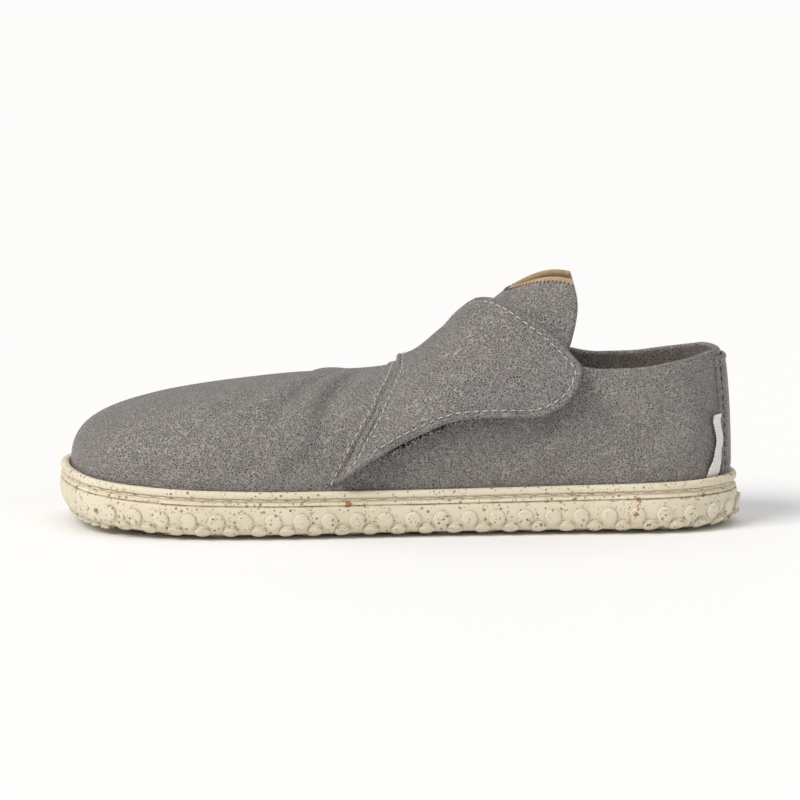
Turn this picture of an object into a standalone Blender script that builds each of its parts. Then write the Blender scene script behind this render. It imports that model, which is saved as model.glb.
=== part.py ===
"""Child's left barefoot shoe with a wide wrap strap, standing empty and unbent on its sole.

Metres, +Z up. The toe points to -X and the outer side of the foot faces -Y.
The origin lies on the floor under the middle of the sole.
"""

import math
from collections import namedtuple

import bmesh
import bpy
import numpy as np
from mathutils import Matrix, Vector

# Driving sizes of the last
LENGTH = 0.2000          # sole from heel to toe, without its lugs
BALL_WIDTH = 0.0805      # sole at the ball of the foot
INSTEP_HEIGHT = 0.0640   # top of the instep above the floor under the strap's rear edge
TOE_SPRING = 0.0040      # lift of the tread at the very toe

# Sole
RIM_HEIGHT = 0.0145      # top of the sole's rim above the floor, at the quarter
RIM_WALL = 0.0030        # thickness of the cup's wall
LUG_DEPTH = 0.0012       # tread lugs below the base
BASE_THICKNESS = 0.0045  # cup floor above the lugs
LUG_RADIUS = 0.0023
LUG_PITCH = 0.0041       # between neighbours of the zigzag row on the side
LUG_PROUD = 0.0009       # side lugs stand out of the wall
TOE_LUG_PITCH = 0.0046
TREAD_PITCH = 0.0150     # between tread lugs across the bottom
TREAD_RADIUS = 0.0033

# Sheet goods
UPPER_WALL = 0.0020
INSOLE_THICKNESS = 0.0030
TONGUE_THICKNESS = 0.0022
STRAP_THICKNESS = 0.0018
STRIP_THICKNESS = 0.0011
LABEL_THICKNESS = 0.0006
LOOP_THICKNESS = 0.0011
HOOK_THICKNESS = 0.0008
FIT_GAP = 0.0003         # between pieces that follow the same outline
DRAPE_GAP = 0.0008       # between curved sheets that lie on each other
TONGUE_GAP = 0.0011      # between the tongue and the inside of the upper
HEEL_STRIP_WIDTH = 0.0240
LABEL_WIDTH = 0.0060
LABEL_HEIGHT = 0.0180
INSOLE_BEVEL = 0.0006

# Fineness of the faceted solids
STATIONS = 36            # sections from toe to heel, on each side
WALL_ROWS = 8            # rows of the upper from the rim to its edge
LUG_SIDES = 6
STRAP_GRID = (26, 8)     # places along and across a sheet
TONGUE_GRID = (14, 13)
PATCH_GRID = (10, 5)
STRIP_ROWS = 10
LABEL_GRID = (7, 4)
FINE_STEPS = 400         # steps along a curve that is measured

# Sections of the last from toe to heel. share: place along the sole. outer, inner: half widths
# from the long axis, as shares of BALL_WIDTH. rim: top of the sole as a share of RIM_HEIGHT.
# ridge_along, ridge_up, ridge_in: the top line that this section rises to, as shares of
# LENGTH, INSTEP_HEIGHT and BALL_WIDTH.
Section = namedtuple("Section", "share outer inner rim ridge_along ridge_up ridge_in")
SECTIONS = [
    Section(0.000, -0.087, 0.087, 1.24, 0.250, 0.640, 0.062),
    Section(0.015, 0.174, 0.273, 1.21, 0.253, 0.6415, 0.061),
    Section(0.050, 0.348, 0.385, 1.14, 0.263, 0.646, 0.060),
    Section(0.120, 0.460, 0.460, 1.06, 0.293, 0.658, 0.056),
    Section(0.220, 0.515, 0.484, 1.00, 0.350, 0.678, 0.050),
    Section(0.320, 0.509, 0.460, 0.97, 0.420, 0.698, 0.042),
    Section(0.380, 0.488, 0.427, 0.965, 0.465, 0.708, 0.036),
    Section(0.450, 0.460, 0.385, 0.96, 0.520, 0.750, 0.030),
    Section(0.520, 0.435, 0.350, 0.96, 0.572, 0.872, 0.022),
    Section(0.600, 0.410, 0.335, 0.97, 0.632, 1.070, 0.012),
    Section(0.750, 0.373, 0.360, 1.00, 0.742, 1.290, 0.000),
    Section(0.850, 0.360, 0.360, 1.03, 0.805, 1.320, 0.000),
    Section(0.920, 0.319, 0.319, 1.05, 0.838, 1.328, 0.000),
    Section(0.980, 0.183, 0.183, 1.07, 0.857, 1.330, 0.000),
    Section(1.000, 0.000, 0.000, 1.07, 0.860, 1.331, 0.000),
]
FULLNESS = 0.05          # how far a section fills out beyond a quarter ellipse
SPRING_SHARE = 0.24      # the tread leaves the floor this far from the toe

# Edge of the upper behind the throat. share: section. edge: how much of the way from the
# ridge line down to the rim is left open.
Edge = namedtuple("Edge", "share edge")
THROAT_SHARE = 0.445
OPENING = [
    Edge(0.445, 0.000),
    Edge(0.460, 0.120),
    Edge(0.490, 0.200),
    Edge(0.530, 0.280),
    Edge(0.600, 0.490),
    Edge(0.660, 0.600),
    Edge(0.750, 0.692),
    Edge(0.800, 0.714),
    Edge(0.850, 0.716),
    Edge(0.920, 0.703),
    Edge(0.980, 0.689),
    Edge(1.000, 0.686),
]

# Side of the sole from the tread up over the rim and down into the cup. out: outwards, as a
# share of RIM_WALL. up: share of the height from the base to the top of the rim.
Profile = namedtuple("Profile", "out up")
SOLE_SIDE = [
    Profile(-1.30, 0.000),
    Profile(-0.70, 0.045),
    Profile(-0.28, 0.160),
    Profile(0.00, 0.440),
    Profile(-0.10, 0.690),
    Profile(-0.24, 0.735),
    Profile(-0.44, 0.775),
    Profile(-0.42, 0.825),
    Profile(-0.13, 0.855),
    Profile(-0.10, 0.930),
    Profile(-0.42, 0.995),
    Profile(-0.80, 0.985),
    Profile(-1.00, 0.920),
]
BASE_INSET = 2.4         # innermost ring of the base, in RIM_WALLs from the outline

# Lugs on the side. out and up as in the profile above, droop: degrees that they face down.
LugSpot = namedtuple("LugSpot", "out up droop")
HIGH_LUG = LugSpot(-0.04, 0.340, 14.0)
LOW_LUG = LugSpot(-0.50, 0.110, 58.0)
TOE_SHARE = 0.075        # the side is smooth in front of this share of LENGTH
TOE_LUG_INSET = 1.5      # toe lugs, in RIM_WALLs from the outline
TOE_LUG_SHARE = 0.42     # radius of a toe lug, as a share of TOE_LUG_PITCH
LUG_ROOT = 1.8           # root of a side lug in the wall, as a share of LUG_PROUD
LUG_SINK = 0.8           # root of a tread lug in the base, as a share of LUG_DEPTH
HEEL_LUG_SHARE = 0.65    # of LUG_PROUD that the lugs stand out behind the heel

# Strap from its free tip on the outer side, over the instep, to its sewn base on the inner
# side. along: share of LENGTH from the toe. across: -1 at the outer rim, 0 on the ridge, 1 at
# the inner rim. front and rear are the strap's two edges.
Band = namedtuple("Band", "front_along front_across rear_along rear_across")
STRAP = [
    Band(0.411, -0.943, 0.418, -0.933),
    Band(0.421, -0.880, 0.458, -0.856),
    Band(0.434, -0.800, 0.508, -0.789),
    Band(0.443, -0.730, 0.561, -0.763),
    Band(0.453, -0.660, 0.628, -0.786),
    Band(0.464, -0.580, 0.699, -0.812),
    Band(0.471, -0.505, 0.750, -0.773),
    Band(0.479, -0.430, 0.767, -0.706),
    Band(0.487, -0.340, 0.748, -0.650),
    Band(0.494, -0.230, 0.690, -0.500),
    Band(0.498, -0.120, 0.638, -0.270),
    Band(0.500, 0.000, 0.598, 0.000),
    Band(0.499, 0.150, 0.583, 0.200),
    Band(0.494, 0.350, 0.580, 0.420),
    Band(0.482, 0.550, 0.590, 0.620),
    Band(0.466, 0.720, 0.606, 0.760),
    Band(0.458, 0.800, 0.612, 0.820),
]

# Tongue from its sewn front under the vamp to its free end. middle: on the ridge line, edge:
# at its sides, as shares of LENGTH from the toe. across: how far down its sides reach.
Leaf = namedtuple("Leaf", "middle edge across")
TONGUE = [
    Leaf(0.430, 0.430, 0.300),
    Leaf(0.480, 0.500, 0.440),
    Leaf(0.530, 0.585, 0.590),
    Leaf(0.575, 0.662, 0.680),
    Leaf(0.612, 0.726, 0.700),
    Leaf(0.636, 0.752, 0.620),
    Leaf(0.649, 0.761, 0.500),
    Leaf(0.657, 0.753, 0.360),
]

# Closure patches, as shares of the strap's grid. run: from the free tip to the ridge. width:
# from the front edge to the lower edge.
Patch = namedtuple("Patch", "run_start run_end width_start width_end")
LOOP_PATCH = Patch(0.12, 0.50, 0.52, 1.06)
HOOK_PATCH = Patch(0.14, 0.48, 0.56, 0.95)
STACK_FULL = 0.52        # the strap lies on the closure's full height up to this share of the run
STACK_END = 0.70         # and back on the quarter from here
STACK_WIDTH = 0.50       # share of the width at which it has risen to that height

# Heel pieces, from the rim to the collar
HEEL_FOOT_SHARE = 0.03
HEEL_TOP_SHARE = 0.95
HEEL_ARC = 0.8           # angle round the heel within which they lie


def smooth_curve(places, values, level_ends=False):
    """Returns a smooth function through the points that never overshoots between two rows."""
    places = np.asarray(places, float)
    values = np.asarray(values, float)
    steps = np.diff(places)
    slopes = np.diff(values) / steps
    knots = np.zeros(len(places))
    same_way = slopes[:-1] * slopes[1:] > 0
    before = np.where(same_way, slopes[:-1], 1.0)
    after = np.where(same_way, slopes[1:], 1.0)
    knots[1:-1] = np.where(same_way, 2.0 * before * after / (before + after), 0.0)
    if not level_ends:
        knots[0] = slopes[0]
        knots[-1] = slopes[-1]

    def curve(place):
        place = np.clip(np.asarray(place, float), places[0], places[-1])
        row = np.clip(np.searchsorted(places, place, side="right") - 1, 0, len(steps) - 1)
        step = steps[row]
        u = (place - places[row]) / step
        rise = (1.0 + 2.0 * u) * (1.0 - u) ** 2 * values[row]
        rise = rise + u * (1.0 - u) ** 2 * step * knots[row]
        rise = rise + u * u * (3.0 - 2.0 * u) * values[row + 1]
        return rise + u * u * (u - 1.0) * step * knots[row + 1]

    return curve


def turn_of(share):
    """Angle around the outline of a section: 0 at the toe, pi at the heel."""
    return np.arccos(np.clip(1.0 - 2.0 * np.asarray(share, float), -1.0, 1.0))


def column(field):
    """One column of the section table as a smooth function of the angle."""
    angles = [float(turn_of(row.share)) for row in SECTIONS]
    return smooth_curve(angles, [getattr(row, field) for row in SECTIONS], level_ends=True)


def outline_side():
    """The outline's distance from the long axis as a closed function of the angle, 0 to 2 pi."""
    angles = [float(turn_of(row.share)) for row in SECTIONS]
    there = [-row.outer for row in SECTIONS]
    back = [row.inner for row in SECTIONS]
    closed_angles = [-angles[2], -angles[1]] + angles
    closed_values = [back[2], back[1]] + there
    closed_angles += [2.0 * math.pi - angle for angle in reversed(angles[:-1])]
    closed_values += list(reversed(back[:-1]))
    closed_angles += [2.0 * math.pi + angles[1]]
    closed_values += [there[1]]
    return smooth_curve(closed_angles, closed_values)


OUTLINE = outline_side()
RIM = column("rim")
RIDGE_ALONG = column("ridge_along")
RIDGE_UP = smooth_curve([row.ridge_along for row in SECTIONS], [row.ridge_up for row in SECTIONS])
RIDGE_IN = column("ridge_in")
OPEN_EDGE = smooth_curve([row.share for row in OPENING], [row.edge for row in OPENING])


def widest(side):
    """Largest reach of the outline to one side of the long axis, as a share of BALL_WIDTH."""
    return float(np.max(side * OUTLINE(np.linspace(0.0, 2.0 * math.pi, 721))))


MIDDLE = (widest(1.0) - widest(-1.0)) / 2.0
HEEL_LUG_REACH = HEEL_LUG_SHARE * LUG_PROUD


def outline_point(angle, out=0.0):
    """Points on the sole's outline, moved outwards by a distance. Returns x and y."""
    angle = np.asarray(angle, float)
    x = -LENGTH / 2.0 * np.cos(angle) - HEEL_LUG_REACH
    y = BALL_WIDTH * (OUTLINE(angle) - MIDDLE)
    step = 0.01
    along_x = LENGTH / 2.0 * np.sin(angle)
    along_y = BALL_WIDTH * (OUTLINE(angle + step) - OUTLINE(angle - step)) / (2.0 * step)
    size = np.hypot(along_x, along_y)
    return x + out * along_y / size, y - out * along_x / size


def spring(x):
    """Lift of the tread above the floor towards the toe."""
    share = (np.asarray(x, float) + HEEL_LUG_REACH) / LENGTH + 0.5
    return TOE_SPRING * np.clip(1.0 - share / SPRING_SHARE, 0.0, 1.0) ** 2


def rim_height(turn):
    """Top of the sole's rim above the floor."""
    return RIM_HEIGHT * RIM(turn)


def last_point(turn, across):
    """Points on the outside of the upper. across: -1 outer rim, 0 ridge, 1 inner rim."""
    turn = np.asarray(turn, float)
    across = np.asarray(across, float)
    side = np.where(across > 0.0, 1.0, -1.0)
    angle = np.where(side < 0.0, turn, 2.0 * math.pi - turn)
    foot_x, foot_y = outline_point(angle, -(RIM_WALL + FIT_GAP))
    foot_z = rim_height(turn)
    along = RIDGE_ALONG(turn)
    ridge_x = LENGTH * (along - 0.5) - HEEL_LUG_REACH
    ridge_y = BALL_WIDTH * (RIDGE_IN(turn) - MIDDLE)
    ridge_z = INSTEP_HEIGHT * RIDGE_UP(along)
    step = 0.004
    climb = INSTEP_HEIGHT * (RIDGE_UP(along + step) - RIDGE_UP(along))
    slope = climb / (step * LENGTH)
    tilt = (1.0 - np.abs(across)) * math.pi / 2.0
    fill = FULLNESS * np.sin(2.0 * tilt) ** 2
    inwards = 1.0 - np.cos(tilt) - fill
    upwards = np.sin(tilt) + fill
    x = foot_x + (ridge_x - foot_x) * inwards
    y = foot_y + (ridge_y - foot_y) * inwards
    z = foot_z + (ridge_z - foot_z) * upwards
    z = z - slope * (ridge_x - foot_x) * np.cos(tilt) * np.sin(tilt) ** 2
    return np.stack([x, y, z], axis=-1)


def last_normal(turn, across):
    """Outward directions on the upper, from its neighbours along and across."""
    turn = np.asarray(turn, float)
    across = np.asarray(across, float)
    step = 0.004
    ahead = np.clip(turn + step, 0.0, math.pi)
    behind = np.clip(turn - step, 0.0, math.pi)
    along = last_point(ahead, across) - last_point(behind, across)
    edge = (turn < 2.0 * step) | (turn > math.pi - 2.0 * step)
    inside = np.clip(across, -1.0 + step, 1.0 - step)
    inside = np.where(edge & (np.abs(inside) < step), -step, inside)
    over = last_point(turn, inside + step) - last_point(turn, inside - step)
    normal = np.cross(along, over)
    # At the toe and the heel the two sides mirror each other, and the direction is that of
    # the section itself turned a quarter.
    side = np.where(inside > 0.0, -1.0, 1.0) * np.where(turn < 1.0, -1.0, 1.0)
    flat = np.stack([side * over[..., 2], np.zeros_like(turn), -side * over[..., 0]], axis=-1)
    normal = np.where(edge[..., None], flat, normal)
    normal = normal / np.linalg.norm(normal, axis=-1, keepdims=True)
    return normal


def skin(turn, across, lift):
    """Points at a distance off the outside of the upper, inwards where it is negative."""
    lift = np.asarray(lift, float)
    return last_point(turn, across) + lift[..., None] * last_normal(turn, across)


def turn_at(along, across):
    """The section whose surface passes the given share of LENGTH at a place across."""
    turns = np.linspace(0.0, math.pi, FINE_STEPS)
    found = []
    for place, where in zip(np.ravel(along), np.ravel(across)):
        reach = last_point(turns, np.full(turns.shape, where))[:, 0]
        found.append(np.interp((place - 0.5) * LENGTH - HEEL_LUG_REACH, reach, turns))
    return np.reshape(found, np.shape(along))


def finish_material(name, colour, roughness):
    """A plain finish: base colour in sRGB shares, roughness, not metallic."""
    material = bpy.data.materials.new(name)
    material.use_nodes = True
    shader = material.node_tree.nodes["Principled BSDF"]
    linear = [((part + 0.055) / 1.055) ** 2.4 for part in colour]
    shader.inputs["Base Color"].default_value = (*linear, 1.0)
    shader.inputs["Roughness"].default_value = roughness
    shader.inputs["Metallic"].default_value = 0.0
    material.diffuse_color = (*linear, 1.0)
    return material


def add_object(name, bm, material, shown=True):
    """Turns a bmesh into an object with its material, shaded smooth over soft edges."""
    bmesh.ops.remove_doubles(bm, verts=bm.verts, dist=1e-6)
    bmesh.ops.recalc_face_normals(bm, faces=bm.faces)
    mesh = bpy.data.meshes.new(name)
    bm.to_mesh(mesh)
    bm.free()
    mesh.shade_smooth()
    mesh.set_sharp_from_angle(angle=math.radians(40.0))
    mesh.materials.append(material)
    made = bpy.data.objects.new(name, mesh)
    bpy.context.scene.collection.objects.link(made)
    if not shown:
        made.hide_render = True
        made.display_type = "WIRE"
    return made


def add_grid(bm, points, closed=False):
    """Adds a grid of points and the quads between them, and returns its vertices by row."""
    rows = [[bm.verts.new(Vector(point)) for point in row] for row in points]
    for low, high in zip(rows[:-1], rows[1:]):
        count = len(low)
        for i in range(count if closed else count - 1):
            j = (i + 1) % count
            bm.faces.new((low[i], low[j], high[j], high[i]))
    return rows


def add_sheet(name, turns, acrosses, lifts, thickness, material):
    """A closed sheet over a grid of places on the last, between two distances off it."""
    bm = bmesh.new()
    outer = add_grid(bm, skin(turns, acrosses, lifts + thickness))
    inner = add_grid(bm, skin(turns, acrosses, lifts))
    for grid_edge in (0, -1):
        for i in range(len(outer[0]) - 1):
            pair = (outer[grid_edge][i], outer[grid_edge][i + 1])
            bm.faces.new((*pair, inner[grid_edge][i + 1], inner[grid_edge][i]))
        for j in range(len(outer) - 1):
            pair = (outer[j][grid_edge], outer[j + 1][grid_edge])
            bm.faces.new((*pair, inner[j + 1][grid_edge], inner[j][grid_edge]))
    return add_object(name, bm, material)


def ring_angles(count=STATIONS):
    """Angles of the sections around the whole outline, one of them at the throat's front."""
    turns = np.linspace(0.0, math.pi, count + 1)
    throat = float(turn_of(THROAT_SHARE))
    turns[np.argmin(np.abs(turns - throat))] = throat
    return np.concatenate([turns, 2.0 * math.pi - turns[-2:0:-1]])


def base_height(x):
    """Underside of the sole's base above the floor."""
    return LUG_DEPTH + spring(x)


def outline_ring(angles, out, height):
    """One ring of points around the outline at a height that is a function of angle and x."""
    x, y = outline_point(angles, out)
    turns = np.where(angles > math.pi, 2.0 * math.pi - angles, angles)
    return np.stack([x, y, height(turns, x)], axis=-1)


def close_ring(bm, ring):
    """Closes a ring of vertices with quads from side to side, a triangle at toe and heel."""
    count = len(ring)
    half = count // 2
    bm.faces.new((ring[0], ring[1], ring[-1]))
    for i in range(1, half - 1):
        bm.faces.new((ring[i], ring[i + 1], ring[count - i - 1], ring[count - i]))
    bm.faces.new((ring[half - 1], ring[half], ring[half + 1]))


def side_height(share):
    """Height of a place on the sole's side, as a function of the section and x."""
    def height(turns, x):
        low = base_height(x)
        return low + share * (rim_height(turns) - low)
    return height


def cup_floor(turns, x):
    """Top of the sole's base inside the cup."""
    return base_height(x) + BASE_THICKNESS


def add_disc(bm, centre, axis, radius, depth):
    """Adds one closed round lug: a cylinder centred on a point along an axis."""
    turn = Vector((0.0, 0.0, 1.0)).rotation_difference(Vector(axis)).to_matrix().to_4x4()
    place = Matrix.Translation(Vector(centre)) @ turn
    bmesh.ops.create_cone(bm, cap_ends=True, segments=LUG_SIDES, radius1=radius,
                          radius2=radius, depth=depth, matrix=place)


def arc_angles(pitch, inset, start=0.0, end=2.0 * math.pi):
    """Angles at equal steps of length along the outline moved inwards by a distance."""
    dense = np.linspace(start, end, 4 * FINE_STEPS)
    x, y = outline_point(dense, -inset)
    run = np.concatenate([[0.0], np.cumsum(np.hypot(np.diff(x), np.diff(y)))])
    count = 2 * max(1, int(round(run[-1] / pitch / 2.0)))
    return np.interp((np.arange(count) + 0.5) * run[-1] / count, run, dense)


def side_lugs():
    """Centre and axis of each lug of the zigzag row on the sole's side, behind the toe."""
    toe_turn = float(turn_of(TOE_SHARE))
    heel_way = 2.0 * math.pi - toe_turn
    for number, angle in enumerate(arc_angles(LUG_PITCH, 0.0, toe_turn, heel_way)):
        spot = LOW_LUG if number % 2 else HIGH_LUG
        x, y = outline_point(angle, spot.out * RIM_WALL)
        away_x, away_y = outline_point(angle, spot.out * RIM_WALL + 1.0)
        z = side_height(spot.up)(min(angle, 2.0 * math.pi - angle), x)
        droop = math.radians(spot.droop)
        axis = Vector(((away_x - x) * math.cos(droop), (away_y - y) * math.cos(droop),
                       -math.sin(droop)))
        yield Vector((float(x), float(y), float(z))), axis


def tread_lugs():
    """Place and radius of each lug under the sole: close ones at the toe, then staggered rows."""
    toe_turn = float(turn_of(TOE_SHARE))
    edge_inset = TOE_LUG_INSET * RIM_WALL
    for angle in arc_angles(TOE_LUG_PITCH, edge_inset, -toe_turn, toe_turn):
        x, y = outline_point(angle, -edge_inset)
        yield float(x), float(y), TOE_LUG_PITCH * TOE_LUG_SHARE
    clear = edge_inset + TREAD_RADIUS + LUG_RADIUS
    border = np.linspace(0.0, 2.0 * math.pi, FINE_STEPS + 1)
    border_x, border_y = outline_point(border, -clear)
    half = len(border_x) // 2
    row_step = TREAD_PITCH * math.sqrt(3.0) / 2.0
    row_count = int((LENGTH / 2.0 - clear) / row_step)
    for row in range(-row_count, row_count + 1):
        x = row * row_step - HEEL_LUG_REACH
        low_y = np.interp(x, border_x[:half + 1], border_y[:half + 1])
        high_y = np.interp(x, border_x[:half - 1:-1], border_y[:half - 1:-1])
        count = int(round((high_y - low_y) / TREAD_PITCH)) + 1 + row % 2
        for y in np.linspace(low_y, high_y, max(2, count)):
            yield x, float(y), TREAD_RADIUS


def lug_mesh():
    """All round lugs of the side and the tread as one mesh of separate cylinders."""
    bm = bmesh.new()
    root = LUG_PROUD * LUG_ROOT
    for spot, axis in side_lugs():
        centre = spot + axis * (LUG_PROUD - root) / 2.0
        add_disc(bm, centre, axis, LUG_RADIUS, LUG_PROUD + root)
    sink = LUG_DEPTH * LUG_SINK
    for x, y, radius in tread_lugs():
        centre = (x, y, float(spring(x)) + (LUG_DEPTH + sink) / 2.0)
        add_disc(bm, centre, (0.0, 0.0, 1.0), radius, LUG_DEPTH + sink)
    return bm


def build_outsole():
    """Cup sole: base, side wall with its rim and groove, and the lugs fused on."""
    rubber = finish_material("moulded cream rubber", (0.88, 0.83, 0.72), 0.65)
    angles = ring_angles()
    bm = bmesh.new()
    rings = [outline_ring(angles, -BASE_INSET * RIM_WALL, side_height(0.0))]
    for row in SOLE_SIDE:
        rings.append(outline_ring(angles, row.out * RIM_WALL, side_height(row.up)))
    rings.append(outline_ring(angles, -RIM_WALL, cup_floor))
    rings.append(outline_ring(angles, -BASE_INSET * RIM_WALL, cup_floor))
    rows = add_grid(bm, rings, closed=True)
    close_ring(bm, rows[0])
    close_ring(bm, rows[-1])
    outsole = add_object("outsole", bm, rubber)
    lugs = add_object("lugs", lug_mesh(), rubber, shown=False)
    fuse = outsole.modifiers.new("fuse lugs", "BOOLEAN")
    fuse.operation = "UNION"
    fuse.solver = "EXACT"
    fuse.use_self = True
    fuse.object = lugs
    return outsole


def build_insole():
    """Footbed inside the upper, with the outline of the cup less the upper's wall."""
    textile = finish_material("footbed textile", (0.80, 0.70, 0.58), 0.90)
    angles = ring_angles()
    out = -(RIM_WALL + UPPER_WALL + 2.0 * FIT_GAP)
    levels = [(2.0 * RIM_WALL, FIT_GAP), (0.0, FIT_GAP), (0.0, INSOLE_THICKNESS - INSOLE_BEVEL),
              (INSOLE_BEVEL, INSOLE_THICKNESS), (2.0 * RIM_WALL, INSOLE_THICKNESS)]
    bm = bmesh.new()
    rings = []
    for inset, up in levels:
        def height(turns, x, up=up):
            return cup_floor(turns, x) + up
        rings.append(outline_ring(angles, out - inset, height))
    rows = add_grid(bm, rings, closed=True)
    close_ring(bm, rows[0])
    close_ring(bm, rows[-1])
    return add_object("insole", bm, textile)


def upper_grid(angles, lift):
    """Points of one face of the upper: two rows inside the cup, then up to the open edge."""
    turns = np.where(angles > math.pi, 2.0 * math.pi - angles, angles)
    side = np.where(angles > math.pi, 1.0, -1.0)
    share = (1.0 - np.cos(turns)) / 2.0
    open_edge = np.where(share < THROAT_SHARE, 0.0, OPEN_EDGE(share))
    rows = []
    rim_out = -(RIM_WALL + FIT_GAP) + lift
    for drop in (1.0, 0.5):
        def height(turns, x, drop=drop):
            low = cup_floor(turns, x) + FIT_GAP
            return rim_height(turns) - drop * (rim_height(turns) - low)
        rows.append(outline_ring(angles, rim_out, height))
    for row in range(WALL_ROWS + 1):
        across = side * (1.0 - (1.0 - open_edge) * row / WALL_ROWS)
        across = np.where(np.abs(across) < 1e-9, -1e-9, across)
        rows.append(skin(turns, across, np.full(turns.shape, lift)))
    return np.array(rows)


def build_upper():
    """Vamp and quarters as one wall, open at the collar, at the throat and underneath."""
    leather = finish_material("grey upper leather", (0.48, 0.46, 0.45), 0.60)
    angles = ring_angles()
    outside = upper_grid(angles, 0.0)
    inside = upper_grid(angles, -UPPER_WALL)
    bm = bmesh.new()
    outer = add_grid(bm, outside, closed=True)
    inner = add_grid(bm, inside, closed=True)
    count = len(angles)
    throat = int(np.argmin(np.abs(angles - float(turn_of(THROAT_SHARE)))))
    for i in range(count):
        j = (i + 1) % count
        bm.faces.new((outer[0][i], outer[0][j], inner[0][j], inner[0][i]))
        if throat <= i < count - throat:
            bm.faces.new((outer[-1][i], outer[-1][j], inner[-1][j], inner[-1][i]))
    return add_object("upper", bm, leather)


def strap_place(run, width):
    """Places on the last of a grid over the strap. run and width go from 0 to 1."""
    rows = np.linspace(0.0, 1.0, len(STRAP))
    front_along = smooth_curve(rows, [row.front_along for row in STRAP])(run)
    rear_along = smooth_curve(rows, [row.rear_along for row in STRAP])(run)
    front_across = smooth_curve(rows, [row.front_across for row in STRAP])(run)
    rear_across = smooth_curve(rows, [row.rear_across for row in STRAP])(run)
    along = front_along + (rear_along - front_along) * width
    across = front_across + (rear_across - front_across) * width
    return turn_at(along, across), across


def ridge_run():
    """Share of the strap's run at which it crosses the ridge line."""
    return [row.front_across for row in STRAP].index(0.0) / (len(STRAP) - 1)


def closure_stack(run, width):
    """Share of the closure's height under the strap: full at the free end's lower edge."""
    towards_end = (STACK_END - run / ridge_run()) / (STACK_END - STACK_FULL)
    towards_end = np.clip(towards_end, 0.0, 1.0)
    towards_edge = np.clip(width / STACK_WIDTH, 0.0, 1.0)
    rise = towards_end * towards_edge
    return rise * rise * (3.0 - 2.0 * rise)


def sheet_grid(size):
    """Shares along and across a sheet, at as many places as its grid has."""
    return np.meshgrid(np.linspace(0.0, 1.0, size[0]), np.linspace(0.0, 1.0, size[1]),
                       indexing="ij")


def build_strap():
    """Wide strap with a waved lower edge, from its free tip to its sewn base."""
    leather = finish_material("grey strap leather", (0.52, 0.50, 0.49), 0.60)
    run, width = sheet_grid(STRAP_GRID)
    turns, across = strap_place(run, width)
    stack = LOOP_THICKNESS + HOOK_THICKNESS + 2.0 * DRAPE_GAP
    lifts = DRAPE_GAP + stack * closure_stack(run, width)
    return add_sheet("strap", turns, across, lifts, STRAP_THICKNESS, leather)


def build_patch(name, patch, lift, thickness, colour):
    """One half of the closure, following the strap's lower edge."""
    pile = finish_material(name.replace("_", " "), colour, 0.95)
    way, over = sheet_grid(PATCH_GRID)
    run = (patch.run_start + (patch.run_end - patch.run_start) * way) * ridge_run()
    width = patch.width_start + (patch.width_end - patch.width_start) * over
    turns, across = strap_place(run, width)
    return add_sheet(name, turns, across, np.full(run.shape, lift), thickness, pile)


def build_tongue():
    """Curved sheet under the throat with rounded rear corners."""
    leather = finish_material("grey tongue leather", (0.50, 0.48, 0.46), 0.65)
    rows = np.linspace(0.0, 1.0, len(TONGUE))
    run, over = sheet_grid(TONGUE_GRID)
    side = 2.0 * over - 1.0
    middle = smooth_curve(rows, [row.middle for row in TONGUE])(run)
    edge = smooth_curve(rows, [row.edge for row in TONGUE])(run)
    across = smooth_curve(rows, [row.across for row in TONGUE])(run) * side
    along = middle + (edge - middle) * side * side
    turns = turn_at(along, across)
    lift = -(UPPER_WALL + TONGUE_GAP + TONGUE_THICKNESS)
    return add_sheet("tongue", turns, across, np.full(run.shape, lift), TONGUE_THICKNESS, leather)


def heel_turns(start, end, count):
    """Angles of places at given distances around the heel from its back line."""
    dense = np.linspace(math.pi - HEEL_ARC, math.pi, FINE_STEPS)
    x, y = outline_point(dense, -(RIM_WALL + FIT_GAP))
    run = np.concatenate([[0.0], np.cumsum(np.hypot(np.diff(x), np.diff(y)))])
    return np.interp(run[-1] - np.linspace(start, end, count), run, dense)


def heel_grid(turns, sides, foot, top, rows):
    """Grid up the back of the heel between two heights, given as shares of the way up."""
    share = (1.0 - np.cos(turns)) / 2.0
    edge = OPEN_EDGE(share)
    grid_turn = np.tile(turns, (rows, 1))
    way = np.linspace(foot, top, rows)[:, None]
    grid_across = sides[None, :] * (1.0 - (1.0 - edge)[None, :] * way)
    return grid_turn, grid_across


def build_heel_strip():
    """Strip over the back seam, from the rim to just under the collar."""
    leather = finish_material("grey heel strip leather", (0.47, 0.45, 0.44), 0.60)
    outer = heel_turns(HEEL_STRIP_WIDTH / 2.0, 0.0, 3)
    turns = np.concatenate([outer, outer[-2::-1]])
    sides = np.array([-1.0, -1.0, -1.0, 1.0, 1.0])
    grid_turn, grid_across = heel_grid(turns, sides, HEEL_FOOT_SHARE, HEEL_TOP_SHARE, STRIP_ROWS)
    lifts = np.full(grid_turn.shape, DRAPE_GAP)
    return add_sheet("heel_strip", grid_turn, grid_across, lifts, STRIP_THICKNESS, leather)


def build_heel_label():
    """Bare folded ribbon beside the heel strip on the outer side."""
    ribbon = finish_material("white woven ribbon", (0.93, 0.93, 0.93), 0.75)
    start = HEEL_STRIP_WIDTH / 2.0 + DRAPE_GAP
    rows, columns = LABEL_GRID
    turns = heel_turns(start + LABEL_WIDTH, start, columns)
    collar = last_point(math.pi, -OPEN_EDGE(1.0))
    top = LABEL_HEIGHT / (collar[2] - rim_height(math.pi))
    grid_turn, grid_across = heel_grid(turns, np.full(columns, -1.0), HEEL_FOOT_SHARE, top, rows)
    lifts = np.full(grid_turn.shape, DRAPE_GAP)
    return add_sheet("heel_label", grid_turn, grid_across, lifts, LABEL_THICKNESS, ribbon)


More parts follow.
